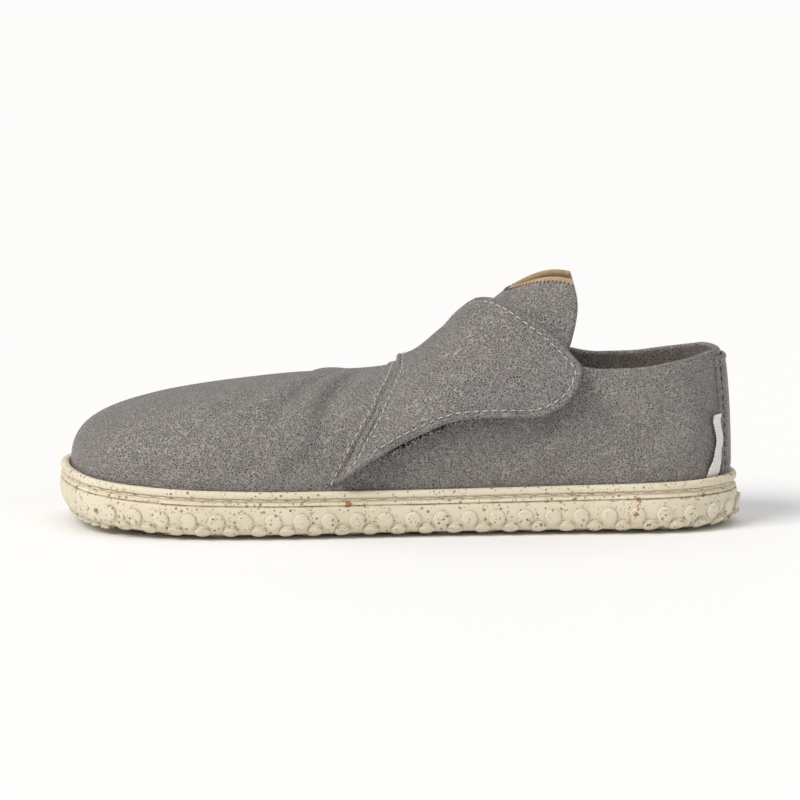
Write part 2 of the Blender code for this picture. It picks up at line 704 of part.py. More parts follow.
def build_shoe():
    """Builds every piece of the shoe."""
    for old in list(bpy.data.objects):
        bpy.data.objects.remove(old, do_unlink=True)
    build_outsole()
    build_insole()
    build_upper()
    build_tongue()
    build_strap()
    build_patch("closure_loop_patch", LOOP_PATCH, DRAPE_GAP, LOOP_THICKNESS, (0.10, 0.10, 0.11))
    build_patch("closure_hook_patch", HOOK_PATCH, 2.0 * DRAPE_GAP + LOOP_THICKNESS,
                HOOK_THICKNESS, (0.12, 0.12, 0.13))
    build_heel_strip()
    build_heel_label()


build_shoe()
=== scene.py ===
"""Looks of a child's left barefoot shoe with a wide wrap strap.

Metres, +Z up. The toe points to -X and the outer side of the foot faces -Y, as in the frame.
"""

import math
from collections import namedtuple

import bmesh
import bpy
import numpy as np
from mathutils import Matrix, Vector


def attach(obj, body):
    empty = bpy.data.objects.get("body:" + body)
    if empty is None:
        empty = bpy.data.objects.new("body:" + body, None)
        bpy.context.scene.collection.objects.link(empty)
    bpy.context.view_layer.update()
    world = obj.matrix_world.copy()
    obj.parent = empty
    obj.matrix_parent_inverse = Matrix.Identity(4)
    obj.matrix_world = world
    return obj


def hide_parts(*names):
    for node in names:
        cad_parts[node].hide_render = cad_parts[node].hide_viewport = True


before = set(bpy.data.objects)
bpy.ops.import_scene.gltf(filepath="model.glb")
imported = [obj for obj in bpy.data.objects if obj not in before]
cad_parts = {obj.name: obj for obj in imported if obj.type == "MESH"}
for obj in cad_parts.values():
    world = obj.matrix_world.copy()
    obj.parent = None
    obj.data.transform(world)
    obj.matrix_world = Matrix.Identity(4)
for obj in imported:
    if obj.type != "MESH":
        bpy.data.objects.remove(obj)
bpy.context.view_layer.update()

MM = 0.001

# Sizes of the last and the sole, as the solids have them
LENGTH = 0.2000
BALL_WIDTH = 0.0805
INSTEP_HEIGHT = 0.0640
TOE_SPRING = 0.0040
RIM_HEIGHT = 0.0145
RIM_WALL = 0.0030
LUG_DEPTH = 0.0012
BASE_THICKNESS = 0.0045
BASE_INSET = 2.4         # of the base's flat from the outline, in rim walls
LUG_RADIUS = 0.0024
LUG_PITCH = 0.0041       # between neighbours of the zigzag row on the side
LUG_PROUD = 0.0009
TOE_LUG_PITCH = 0.0046
TOE_LUG_RADIUS = 0.45 * TOE_LUG_PITCH
TREAD_PITCH = 0.0150
TREAD_RADIUS = 0.0033
TREAD_CLEAR = 0.0023     # between the lugs at the toe's edge and those of the rows

# Sheet goods
UPPER_WALL = 0.0020
INSOLE_THICKNESS = 0.0030
TONGUE_THICKNESS = 0.0022
STRAP_THICKNESS = 0.0018
STRIP_THICKNESS = 0.0011
LABEL_THICKNESS = 0.0006
LOOP_THICKNESS = 0.0011
HOOK_THICKNESS = 0.0008
FIT_GAP = 0.0003
DRAPE_GAP = 0.0008
TONGUE_GAP = 0.0011
LAID_GAP = 0.0003        # under a piece that is sewn flat on the upper
HEEL_STRIP_WIDTH = 0.0240
LABEL_WIDTH = 0.0056
LABEL_HEIGHT = 0.0180
BAND_DEPTH = 0.0115      # leather facing inside the collar
COLLAR_ROLL = 9          # rows round the turned edge of the collar
FOOTBED_BEVEL = 0.0008
LAP_HEIGHT = 0.00080     # of the quarter's front edge over the vamp
LAP_SINK = 0.00025       # how deep its front and rear ends lie in the upper
LAP_ROUND = 0.00045      # radius of the lapped edge
LAP_FADE = 0.0015        # and from here back it runs out into the quarter
LAP_UNDER = 0.0006       # its underside, inside the upper's wall

# The heel's strip and ribbon, as shares of the way from the rim up to the collar
HEEL_FOOT = -0.03        # they start just under the rim
HEEL_TOP = 0.97
HEEL_RISE = 0.05         # and have come out from under it here
STRIP_SINK = 0.0009
SEWN_DOWN = 0.0050       # the strip is drawn down this far in from each long edge
RIBBON_WAIST = 0.42      # how much narrower the ribbon is above the rim
RIBBON_FLARE = 0.08      # and wider again at its top
RIBBON_SWAY = 0.0011
RIBBON_CURL = 0.0014
RIBBON_TWIST = 0.0012

# Sewing
STITCH_PITCH = 0.0026    # from one stitch to the next
STITCH_LENGTH = 0.0019
THREAD = 0.00042         # thickness of the thread as it lies
# width of the dark bead of painted shade at each needle hole
NEEDLE_HOLE = 0.00055
EDGE_TO_STITCH = 0.0023  # from a sewn edge to its stitch line
COLLAR_TO_STITCH = 0.0042
COLLAR_SEWN = 0.60       # share of the sole behind which the collar has its stitch row
LAP_TO_STITCH = 0.0013
TURNED_EDGE = 0.0017     # width of the strap's turned edge
TURNED_RISE = 0.00022    # its height over the rest of the strap
TURNED_RUN = 0.0003      # how far past its fold that height runs out
FOLD_DEPTH = 0.00030     # the fold line beside it
FOLD_WIDTH = 0.00022
PULL_DEPTH = 0.00012     # how far the stitches draw the leather down
PULL_WIDTH = 0.0005
PULL_INSET = 0.0003      # the middle of that pull, inwards from the stitch line
LINING_SHOWN = 0.0025    # lining that shows along the tongue's end
LINING_STEP = 0.00045    # how much lower it lies than the leather
STEP_SOFTNESS = 0.0002   # how softly such a step starts
GROOVE_PROUD = 0.00004   # how far the middle of the thread lies off the groove
LAP_PROUD = 0.00052      # and off the upper, on the lapped edge
COLLAR_PROUD = 0.0001    # and below the collar
SOLE_STITCH = {"Pitch": 0.0055, "Slant": -0.04, "Length": 0.0047, "Thickness": 0.00072,
               "Hole": 0.00075}
NOTCH_STITCH = {"Pitch": 0.0012, "Slant": 1.25, "Length": 0.0011, "Thickness": 0.00038,
                "Hole": 0.0004}

# Fineness of the meshes
STATIONS = 150           # sections from toe to heel, on each side
WALL_ROWS = 46
SIDE_STEPS = 4           # rows between two rows of the sole's side table
OUTSIDE_ROWS = 45        # rows of the sole's side up to the top of its rim
WELD = 2e-6              # points nearer than this are one
# Rows beside an edge, in millimetres from it
EDGE_STEPS = (0.0, 0.05, 0.2, 0.45, 0.8, 1.1, 1.45, 1.65, 1.85, 2.1, 2.5, 3.0)
LAP_STEPS = (0.0, 0.06, 0.2, 0.45, 0.9, 1.6, 2.4, 3.5, 5.0, 6.5, 8.0)

# Grids of the sheets: rows and columns, spaced by a rough length and width
Sheet = namedtuple("Sheet", "length width rows columns")
STRAP_SHEET = Sheet(0.110, 0.034, 96, 34)
PATCH_SHEET = Sheet(0.050, 0.012, 60, 16)
TONGUE_SHEET = Sheet(0.055, 0.060, 60, 70)
STRIP_SHEET = Sheet(0.033, HEEL_STRIP_WIDTH, 30, 26)
RIBBON_SHEET = Sheet(LABEL_HEIGHT, LABEL_WIDTH, 60, 14)

# Sizes in the finishes: how large the blotches and cells are, and how high the relief stands
GRAIN = 0.00062
GRAIN_TURN = 0.7         # the angle at which the grain is drawn out, and how far
GRAIN_DRAWN = (0.74, 1.0, 1.16)
GRAIN_HEIGHT = 0.00018
LEATHER_CLOUD = 0.013
LEATHER_PATCH = 0.0030
LEATHER_SWELL = 0.0085
SWELL_HEIGHT = 0.0012
RUBBER_CLOUD = 0.014
SPECK_CLOUD = 0.0065
LINE_BREAK = 0.006
SCRATCH_CELL = 0.0036
SCRATCH_CLOUD = 0.0030
SCRATCH_DEPTH = 0.00012
RUBBER_PIT = 0.0009
PIT_DEPTH = 0.00012
RUBBER_WAVE = 0.007
WAVE_HEIGHT = 0.0005
WEAVE_HEIGHT = 0.00018
TWILL_PITCH = 0.0009
TWILL_HEIGHT = 0.00008

# Sections of the last from toe to heel. share: place along the sole. outer, inner: half widths
# from the long axis, as shares of BALL_WIDTH. rim: top of the sole as a share of RIM_HEIGHT.
# ridge_along, ridge_up, ridge_in: the top line that this section rises to, as shares of
# LENGTH, INSTEP_HEIGHT and BALL_WIDTH.
Section = namedtuple("Section", "share outer inner rim ridge_along ridge_up ridge_in")
SECTIONS = [Section(*row) for row in (
    (0.000, -0.087, 0.087, 1.24, 0.250, 0.640, 0.062),
    (0.015, 0.174, 0.273, 1.21, 0.253, 0.6415, 0.061),
    (0.050, 0.348, 0.385, 1.14, 0.263, 0.646, 0.060),
    (0.120, 0.460, 0.460, 1.06, 0.293, 0.658, 0.056),
    (0.220, 0.515, 0.484, 1.00, 0.350, 0.678, 0.050),
    (0.320, 0.509, 0.460, 0.97, 0.420, 0.698, 0.042),
    (0.380, 0.488, 0.427, 0.965, 0.465, 0.708, 0.036),
    (0.450, 0.460, 0.385, 0.96, 0.520, 0.750, 0.030),
    (0.520, 0.435, 0.350, 0.96, 0.572, 0.872, 0.022),
    (0.600, 0.410, 0.335, 0.97, 0.632, 1.070, 0.012),
    (0.750, 0.373, 0.360, 1.00, 0.742, 1.290, 0.000),
    (0.850, 0.360, 0.360, 1.03, 0.805, 1.320, 0.000),
    (0.920, 0.319, 0.319, 1.05, 0.838, 1.328, 0.000),
    (0.980, 0.183, 0.183, 1.07, 0.857, 1.330, 0.000),
    (1.000, 0.000, 0.000, 1.07, 0.860, 1.331, 0.000),
)]
FULLNESS = 0.05
SPRING_SHARE = 0.24

# Edge of the upper behind the throat. share: section. edge: how much of the way from the
# ridge line down to the rim is left open.
Edge = namedtuple("Edge", "share edge")
THROAT_SHARE = 0.445
OPENING = [Edge(*row) for row in (
    (0.445, 0.000),
    (0.460, 0.120),
    (0.490, 0.200),
    (0.530, 0.280),
    (0.600, 0.490),
    (0.660, 0.600),
    (0.750, 0.692),
    (0.800, 0.714),
    (0.850, 0.716),
    (0.920, 0.703),
    (0.980, 0.689),
    (1.000, 0.686),
)]

# Side of the sole from the tread up over the rim and down into the cup. out: outwards, as a
# share of RIM_WALL. up: share of the height from the base to the top of the rim.
Profile = namedtuple("Profile", "out up")
SOLE_SIDE = [Profile(*row) for row in (
    (-1.30, 0.000),
    (-0.70, 0.045),
    (-0.28, 0.160),
    (0.00, 0.440),
    (-0.10, 0.690),
    (-0.24, 0.735),
    (-0.44, 0.775),
    (-0.42, 0.825),
    (-0.13, 0.855),
    (-0.10, 0.930),
    (-0.42, 0.995),
    (-0.80, 0.985),
    (-1.00, 0.920),
)]
GROOVE_UP = 0.800        # middle of the stitch groove
GROOVE_OUT = -0.44
GROOVE_SPREAD = 0.035    # how far up and down its shade reaches
LINE_UP = 0.668          # the fine moulded line under the groove
LINE_DEPTH = 0.00035
LINE_WIDTH = 0.00022
LINE_NEAR = 0.0012       # the larger flecks gather this near to the line

# Lugs on the side. out and up as in the profile above, droop: degrees that they face down.
LugSpot = namedtuple("LugSpot", "out up droop")
HIGH_LUG = LugSpot(-0.04, 0.340, 14.0)
LOW_LUG = LugSpot(-0.50, 0.110, 58.0)
TOE_SHARE = 0.075
TOE_LUG_INSET = 1.5

# Strap from its free tip on the outer side, over the instep, to its sewn base on the inner
# side. along: share of LENGTH from the toe. across: -1 at the outer rim, 0 on the ridge, 1 at
# the inner rim. front and rear are the strap's two edges.
Band = namedtuple("Band", "front_along front_across rear_along rear_across")
STRAP = [Band(*row) for row in (
    (0.411, -0.943, 0.418, -0.933),
    (0.421, -0.880, 0.458, -0.856),
    (0.434, -0.800, 0.508, -0.789),
    (0.443, -0.730, 0.561, -0.763),
    (0.453, -0.660, 0.628, -0.786),
    (0.464, -0.580, 0.699, -0.812),
    (0.471, -0.505, 0.750, -0.773),
    (0.479, -0.430, 0.767, -0.706),
    (0.487, -0.340, 0.748, -0.650),
    (0.494, -0.230, 0.690, -0.500),
    (0.498, -0.120, 0.638, -0.270),
    (0.500, 0.000, 0.598, 0.000),
    (0.499, 0.150, 0.583, 0.200),
    (0.494, 0.350, 0.580, 0.420),
    (0.482, 0.550, 0.590, 0.620),
    (0.466, 0.720, 0.606, 0.760),
    (0.458, 0.800, 0.612, 0.820),
)]

# Tongue from its sewn front under the vamp to its free end. middle: on the ridge line, edge:
# at its sides, as shares of LENGTH from the toe. across: how far down its sides reach.
Leaf = namedtuple("Leaf", "middle edge across")
TONGUE = [Leaf(*row) for row in (
    (0.430, 0.430, 0.300),
    (0.480, 0.500, 0.440),
    (0.530, 0.585, 0.590),
    (0.575, 0.662, 0.680),
    (0.612, 0.726, 0.700),
    (0.636, 0.752, 0.620),
    (0.649, 0.761, 0.500),
    (0.657, 0.753, 0.360),
)]

# Closure patches, as shares of the strap's grid. run: from the free tip to the ridge.
# width_start: from the front edge, the patch runs from there to the lower edge.
Patch = namedtuple("Patch", "run_start run_end width_start")
LOOP_PATCH = Patch(0.12, 0.52, 0.52)
HOOK_PATCH = Patch(0.14, 0.48, 0.56)
STACK_FULL = 0.52        # the strap lies on the closure's full height up to this share of the run
STACK_END = 0.70         # and back on the quarter from here
STACK_WIDTH = 0.50       # share of the width at which it has risen to that height
LOOP_PEEK = 0.0036       # how far the closure shows under the strap's lower edge
HOOK_PEEK = 0.0014
PEEK_FULL = 0.24         # up to this share of the run
PEEK_END = 0.32          # and hidden from here
HIDDEN = 0.0016          # how far inside the strap's edge it ends there

# What stands out of the closure's mats: so many to the square metre, and how thick, in metres
Fibre = namedtuple("Fibre", "label density width seed")
# The glints are painted highlights: near-white fibres among the black ones.
FIBRES = [Fibre("fibres", 9.0e6, 0.00007, 7), Fibre("glints", 2.2e6, 0.00019, 11)]

# Front edge of the quarters over the vamp, just ahead of the strap, from rim to rim
Seam = namedtuple("Seam", "across along")
QUARTER_EDGE = [Seam(*row) for row in (
    (-0.970, 0.396),
    (-0.800, 0.419),
    (-0.580, 0.449),
    (-0.430, 0.464),
    (-0.230, 0.480),
    (0.000, 0.486),
    (0.350, 0.479),
    (0.600, 0.462),
    (0.800, 0.444),
    (0.970, 0.425),
)]

# Soft creases of the upper, from one place to another. share and across as on the last, width
# and rise in metres: a rise below zero is a trough.
Crease = namedtuple("Crease", "share across to_share to_across width rise")
CREASES = [Crease(*row) for row in (
    (0.366, -0.06, 0.388, -0.74, 0.0022, -0.00190),
    (0.340, -0.04, 0.352, -0.70, 0.0028, 0.00110),
    (0.308, 0.02, 0.308, -0.64, 0.0023, -0.00165),
    (0.272, -0.06, 0.254, -0.56, 0.0034, 0.00080),
    (0.236, -0.20, 0.198, -0.68, 0.0026, -0.00110),
    (0.362, 0.10, 0.378, 0.72, 0.0024, -0.00160),
    (0.330, 0.10, 0.334, 0.64, 0.0030, 0.00090),
    (0.296, 0.12, 0.284, 0.60, 0.0025, -0.00130),
    (0.388, -0.76, 0.336, -0.93, 0.0022, -0.00120),
    (0.306, -0.80, 0.262, -0.93, 0.0024, -0.00090),
    (0.880, -0.95, 0.790, -0.79, 0.0040, -0.00190),
    (0.925, -0.95, 0.950, -0.79, 0.0040, 0.00110),
    (0.700, -0.94, 0.775, -0.79, 0.0048, 0.00120),
    (0.560, -0.96, 0.670, -0.86, 0.0034, -0.00150),
    (0.650, -0.97, 0.730, -0.91, 0.0030, 0.00090),
    (0.885, 0.94, 0.805, 0.79, 0.0042, -0.00160),
    (0.700, 0.93, 0.775, 0.80, 0.0048, 0.00100),
    (0.600, 0.95, 0.660, 0.80, 0.0038, -0.00145),
)]


def smooth_curve(places, values, level_ends=False):
    """Returns a smooth function through the points that never overshoots between two rows."""
    places = np.asarray(places, float)
    values = np.asarray(values, float)
    steps = np.diff(places)
    slopes = np.diff(values) / steps
    knots = np.zeros(len(places))
    same_way = slopes[:-1] * slopes[1:] > 0
    before = np.where(same_way, slopes[:-1], 1.0)
    after = np.where(same_way, slopes[1:], 1.0)
    knots[1:-1] = np.where(same_way, 2.0 * before * after / (before + after), 0.0)
    if not level_ends:
        knots[0] = slopes[0]
        knots[-1] = slopes[-1]

    def curve(place):
        place = np.clip(np.asarray(place, float), places[0], places[-1])
        row = np.clip(np.searchsorted(places, place, side="right") - 1, 0, len(steps) - 1)
        step = steps[row]
        u = (place - places[row]) / step
        rise = (1.0 + 2.0 * u) * (1.0 - u) ** 2 * values[row]
        rise = rise + u * (1.0 - u) ** 2 * step * knots[row]
        rise = rise + u * u * (3.0 - 2.0 * u) * values[row + 1]
        return rise + u * u * (u - 1.0) * step * knots[row + 1]

    return curve


def ease(low, high, value):
    """Rises smoothly from 0 at low to 1 at high."""
    share = np.clip((np.asarray(value, float) - low) / (high - low), 0.0, 1.0)
    return share * share * (3.0 - 2.0 * share)


def turn_of(share):
    """Angle around the outline of a section: 0 at the toe, pi at the heel."""
    return np.arccos(np.clip(1.0 - 2.0 * np.asarray(share, float), -1.0, 1.0))


def share_of(turn):
    """Place of a section along the sole, from its angle."""
    return (1.0 - np.cos(turn)) / 2.0


def table_curves(table):
    """The columns of a table as smooth functions of the way down its rows, 0 to 1."""
    ways = np.linspace(0.0, 1.0, len(table))
    return [smooth_curve(ways, values) for values in zip(*table)]


def grid(rows, columns):
    """Two grids of values, along and across a sheet."""
    return np.meshgrid(rows, columns, indexing="ij")


def column(field):
    """One column of the section table as a smooth function of the angle."""
    angles = [float(turn_of(row.share)) for row in SECTIONS]
    return smooth_curve(angles, [getattr(row, field) for row in SECTIONS], level_ends=True)


def outline_side():
    """The outline's distance from the long axis as a closed function of the angle, 0 to 2 pi."""
    angles = [float(turn_of(row.share)) for row in SECTIONS]
    there = [-row.outer for row in SECTIONS]
    back = [row.inner for row in SECTIONS]
    closed_angles = [-angles[2], -angles[1]] + angles
    closed_values = [back[2], back[1]] + there
    closed_angles += [2.0 * math.pi - angle for angle in reversed(angles[:-1])]
    closed_values += list(reversed(back[:-1]))
    closed_angles += [2.0 * math.pi + angles[1]]
    closed_values += [there[1]]
    return smooth_curve(closed_angles, closed_values)


OUTLINE = outline_side()
RIM = column("rim")
RIDGE_ALONG = column("ridge_along")
RIDGE_UP = smooth_curve([row.ridge_along for row in SECTIONS], [row.ridge_up for row in SECTIONS])
RIDGE_IN = column("ridge_in")
OPEN_EDGE = smooth_curve(*zip(*OPENING))
SEAM_ALONG = smooth_curve(*zip(*QUARTER_EDGE))


def widest(side):
    """Largest reach of the outline to one side of the long axis, as a share of BALL_WIDTH."""
    return float(np.max(side * OUTLINE(np.linspace(0.0, 2.0 * math.pi, 721))))


MIDDLE = (widest(1.0) - widest(-1.0)) / 2.0
HEEL_LUG_REACH = 0.65 * LUG_PROUD


def outline_point(angle, out=0.0):
    """Points on the sole's outline, moved outwards by a distance. Returns x and y."""
    angle = np.asarray(angle, float)
    x = -LENGTH / 2.0 * np.cos(angle) - HEEL_LUG_REACH
    y = BALL_WIDTH * (OUTLINE(angle) - MIDDLE)
    step = 0.01
    along_x = LENGTH / 2.0 * np.sin(angle)
    along_y = BALL_WIDTH * (OUTLINE(angle + step) - OUTLINE(angle - step)) / (2.0 * step)
    size = np.hypot(along_x, along_y)
    return x + out * along_y / size, y - out * along_x / size


def spring(x):
    """Lift of the tread above the floor towards the toe."""
    share = (np.asarray(x, float) + HEEL_LUG_REACH) / LENGTH + 0.5
    return TOE_SPRING * np.clip(1.0 - share / SPRING_SHARE, 0.0, 1.0) ** 2


def rim_height(turn):
    """Top of the sole's rim above the floor."""
    return RIM_HEIGHT * RIM(turn)


def last_point(turn, across):
    """Points on the smooth outside of the upper. across: -1 outer rim, 0 ridge, 1 inner rim."""
    turn = np.asarray(turn, float)
    across = np.asarray(across, float)
    side = np.where(across > 0.0, 1.0, -1.0)
    angle = np.where(side < 0.0, turn, 2.0 * math.pi - turn)
    foot_x, foot_y = outline_point(angle, -(RIM_WALL + FIT_GAP))
    foot_z = rim_height(turn)
    along = RIDGE_ALONG(turn)
    ridge_x = LENGTH * (along - 0.5) - HEEL_LUG_REACH
    ridge_y = BALL_WIDTH * (RIDGE_IN(turn) - MIDDLE)
    ridge_z = INSTEP_HEIGHT * RIDGE_UP(along)
    step = 0.004
    climb = INSTEP_HEIGHT * (RIDGE_UP(along + step) - RIDGE_UP(along))
    slope = climb / (step * LENGTH)
    tilt = (1.0 - np.abs(across)) * math.pi / 2.0
    fill = FULLNESS * np.sin(2.0 * tilt) ** 2
    inwards = 1.0 - np.cos(tilt) - fill
    upwards = np.sin(tilt) + fill
    x = foot_x + (ridge_x - foot_x) * inwards
    y = foot_y + (ridge_y - foot_y) * inwards
    z = foot_z + (ridge_z - foot_z) * upwards
    z = z - slope * (ridge_x - foot_x) * np.cos(tilt) * np.sin(tilt) ** 2
    return np.stack([x, y, z], axis=-1)


def last_normal(turn, across):
    """Outward directions on the upper, from its neighbours along and across."""
    turn = np.asarray(turn, float)
    across = np.asarray(across, float)
    step = 0.004
    ahead = np.clip(turn + step, 0.0, math.pi)
    behind = np.clip(turn - step, 0.0, math.pi)
    along = last_point(ahead, across) - last_point(behind, across)
    edge = (turn < 2.0 * step) | (turn > math.pi - 2.0 * step)
    inside = np.clip(across, -1.0 + step, 1.0 - step)
    inside = np.where(edge & (np.abs(inside) < step), -step, inside)
    over = last_point(turn, inside + step) - last_point(turn, inside - step)
    normal = np.cross(along, over)
    # At the toe and the heel the two sides mirror each other, and the direction is that of
    # the section itself turned a quarter.
    side = np.where(inside > 0.0, -1.0, 1.0) * np.where(turn < 1.0, -1.0, 1.0)
    flat = np.stack([side * over[..., 2], np.zeros_like(turn), -side * over[..., 0]], axis=-1)
    normal = np.where(edge[..., None], flat, normal)
    return normal / np.linalg.norm(normal, axis=-1, keepdims=True)


def crease_rise(points, across):
    """How far the creases lift each point of the upper, none at the rim."""
    rise = np.zeros(points.shape[:-1])
    for crease in CREASES:
        way = np.linspace(0.0, 1.0, 25)
        turns = turn_of(crease.share + (crease.to_share - crease.share) * way)
        places = crease.across + (crease.to_across - crease.across) * way
        line = last_point(turns, places)
        gaps = np.linalg.norm(points[..., None, :] - line, axis=-1)
        nearest = np.argmin(gaps, axis=-1)
        gap = np.take_along_axis(gaps, nearest[..., None], axis=-1)[..., 0]
        swell = np.sin(math.pi * (0.08 + 0.84 * way[nearest]))
        rise = rise + crease.rise * swell * np.exp(-((gap / crease.width) ** 2))
    return rise * ease(0.0, 0.12, 1.0 - np.abs(across))


def skin(turn, across, lift):
    """Points at a distance off the creased outside of the upper, inwards where it is negative."""
    turn = np.asarray(turn, float)
    across = np.asarray(across, float)
    base = last_point(turn, across)
    rise = np.asarray(lift, float) + crease_rise(base, across)
    return base + rise[..., None] * last_normal(turn, across)


ACROSS_ROWS = np.linspace(-1.0, 1.0, 201)
TURN_ROWS = np.linspace(0.0, math.pi, 400)
REACH = last_point(*np.meshgrid(TURN_ROWS, ACROSS_ROWS))[..., 0]


def turn_at(along, across):
    """The section whose surface passes the given share of LENGTH at a place across."""
    across = np.clip(np.asarray(across, float), -1.0, 1.0)
    place = (np.asarray(along, float) - 0.5) * LENGTH - HEEL_LUG_REACH
    found = np.array([np.interp(place, reach, TURN_ROWS) for reach in REACH])
    spot = (across + 1.0) / 2.0 * (len(ACROSS_ROWS) - 1)
    low = np.clip(np.floor(spot).astype(int), 0, len(ACROSS_ROWS) - 2)
    first = np.take_along_axis(found, low[None], 0)[0]
    second = np.take_along_axis(found, low[None] + 1, 0)[0]
    return first + (second - first) * (spot - low)


def base_height(x):
    """Underside of the sole's base above the floor."""
    return LUG_DEPTH + spring(x)


def side_height(share, turns, x):
    """Height of a place on the sole's side, given as a share of the way up."""
    low = base_height(x)
    return low + share * (rim_height(turns) - low)


def cup_floor(x):
    """Top of the sole's base inside the cup."""
    return base_height(x) + BASE_THICKNESS


def half_turn(angles):
    """The section's angle, 0 to pi, of a place anywhere around the outline."""
    return np.where(angles > math.pi, 2.0 * math.pi - angles, angles)


def ring_angles():
    """Angles of the sections all round the outline, one of them at the throat's front."""
    turns = np.linspace(0.0, math.pi, STATIONS + 1)
    throat = float(turn_of(THROAT_SHARE))
    turns[np.argmin(np.abs(turns - throat))] = throat
    return np.concatenate([turns, 2.0 * math.pi - turns[-2::-1]])


def outline_run(angles, inset):
    """Distance run along the outline, moved inwards by a distance."""
    x, y = outline_point(angles, -inset)
    return np.concatenate([[0.0], np.cumsum(np.hypot(np.diff(x), np.diff(y)))])


def linear(code):
    """The linear colour of an sRGB hex value."""
    shares = [int(code[i:i + 2], 16) / 255.0 for i in (0, 2, 4)]
    parts = [s / 12.92 if s <= 0.04045 else ((s + 0.055) / 1.055) ** 2.4 for s in shares]
    return (*parts, 1.0)


def add_node(tree, kind, sockets=None, **settings):
    """Adds a node with its settings. Each socket takes a value, a socket or another node."""
    node = tree.nodes.new(kind)
    for name, value in settings.items():
        setattr(node, name, value)
    for name, value in (sockets or {}).items():
        if isinstance(value, bpy.types.Node):
            value = value.outputs[0]
        if isinstance(value, bpy.types.NodeSocket):
            tree.links.new(value, node.inputs[name])
        else:
            node.inputs[name].default_value = value
    return node


def new_finish(name, roughness, **constants):
    """A material and its tree. Constant values are set on the shader's own sockets."""
    material = bpy.data.materials.new(name)
    material.use_nodes = True
    constants = {"Roughness": roughness, "Metallic": 0.0, **constants}
    for socket, value in constants.items():
        shader_socket(material, socket).default_value = value
    return material, material.node_tree


def shader_socket(material, name):
    """An input of the material's shader, its name written with underscores."""
    return material.node_tree.nodes["Principled BSDF"].inputs[name.replace("_", " ")]


def linked(material, **values):
    """Links values to the inputs of the material's shader, and returns the material."""
    for socket, value in values.items():
        material.node_tree.links.new(value, shader_socket(material, socket))
    return material


def mixed(tree, share, low, high):
    """Colour between two others, each a link or an sRGB hex value."""
    low, high = [linear(tone) if isinstance(tone, str) else tone for tone in (low, high)]
    return add_node(tree, "ShaderNodeMix", {0: share, 6: low, 7: high},
                    data_type="RGBA").outputs[2]


def spread(tree, value, low, high, start=0.0, end=1.0):
    """Maps a value from one range onto another, held at its ends."""
    sockets = dict(enumerate((value, low, high, start, end)))
    return add_node(tree, "ShaderNodeMapRange", sockets).outputs[0]


def worked(tree, operation, first, second=0.0):
    """One arithmetic step."""
    return add_node(tree, "ShaderNodeMath", {0: first, 1: second}, operation=operation).outputs[0]


def times(tree, first, second):
    """Product of two values."""
    return worked(tree, "MULTIPLY", first, second)


def vectors_worked(tree, operation, first, second):
    """One step of vector arithmetic."""
    return add_node(tree, "ShaderNodeVectorMath", {0: first, 1: second}, operation=operation)


def vector(tree, *parts):
    """A vector from its parts."""
    return add_node(tree, "ShaderNodeCombineXYZ", dict(enumerate(parts)))


def parted(tree, whole):
    """The parts of a vector."""
    return add_node(tree, "ShaderNodeSeparateXYZ", {0: whole}).outputs


def object_place(tree):
    """Places on the object, in metres."""
    return add_node(tree, "ShaderNodeTexCoord").outputs["Object"]


def grid_place(tree):
    """The two places on a piece's own grid, in metres."""
    return parted(tree, add_node(tree, "ShaderNodeUVMap", uv_map="metres"))


def noise(tree, place, size, detail=3.0, roughness=0.5, distortion=0.0):
    """Cloudy noise whose blotches are about the given size across, in metres."""
    node = add_node(tree, "ShaderNodeTexNoise", {"Vector": place, "Scale": 1.0 / size,
                    "Detail": detail, "Roughness": roughness, "Distortion": distortion})
    return node.outputs[0]


def cells(tree, place, size, feature="F1"):
    """Cells about the given size across, in metres."""
    return add_node(tree, "ShaderNodeTexVoronoi", {"Vector": place, "Scale": 1.0 / size},
                    feature=feature).outputs


def warped(tree, place, size, reach):
    """Places pushed about by noise, so that cells lose their straight sides."""
    cloud = add_node(tree, "ShaderNodeTexNoise", {"Vector": place, "Scale": 1.0 / size,
                     "Detail": 2.0}).outputs[1]
    centred = vectors_worked(tree, "SUBTRACT", cloud, (0.5, 0.5, 0.5))
    pushed = add_node(tree, "ShaderNodeVectorMath", {0: centred, "Scale": reach},
                      operation="SCALE")
    return vectors_worked(tree, "ADD", place, pushed)


def bumped(tree, height, distance, strength, under=None):
    """Normals of a bump of the given height in metres, over those of another bump."""
    sockets = {"Height": height, "Distance": distance, "Strength": strength}
    if under is not None:
        sockets["Normal"] = under
    return add_node(tree, "ShaderNodeBump", sockets).outputs[0]


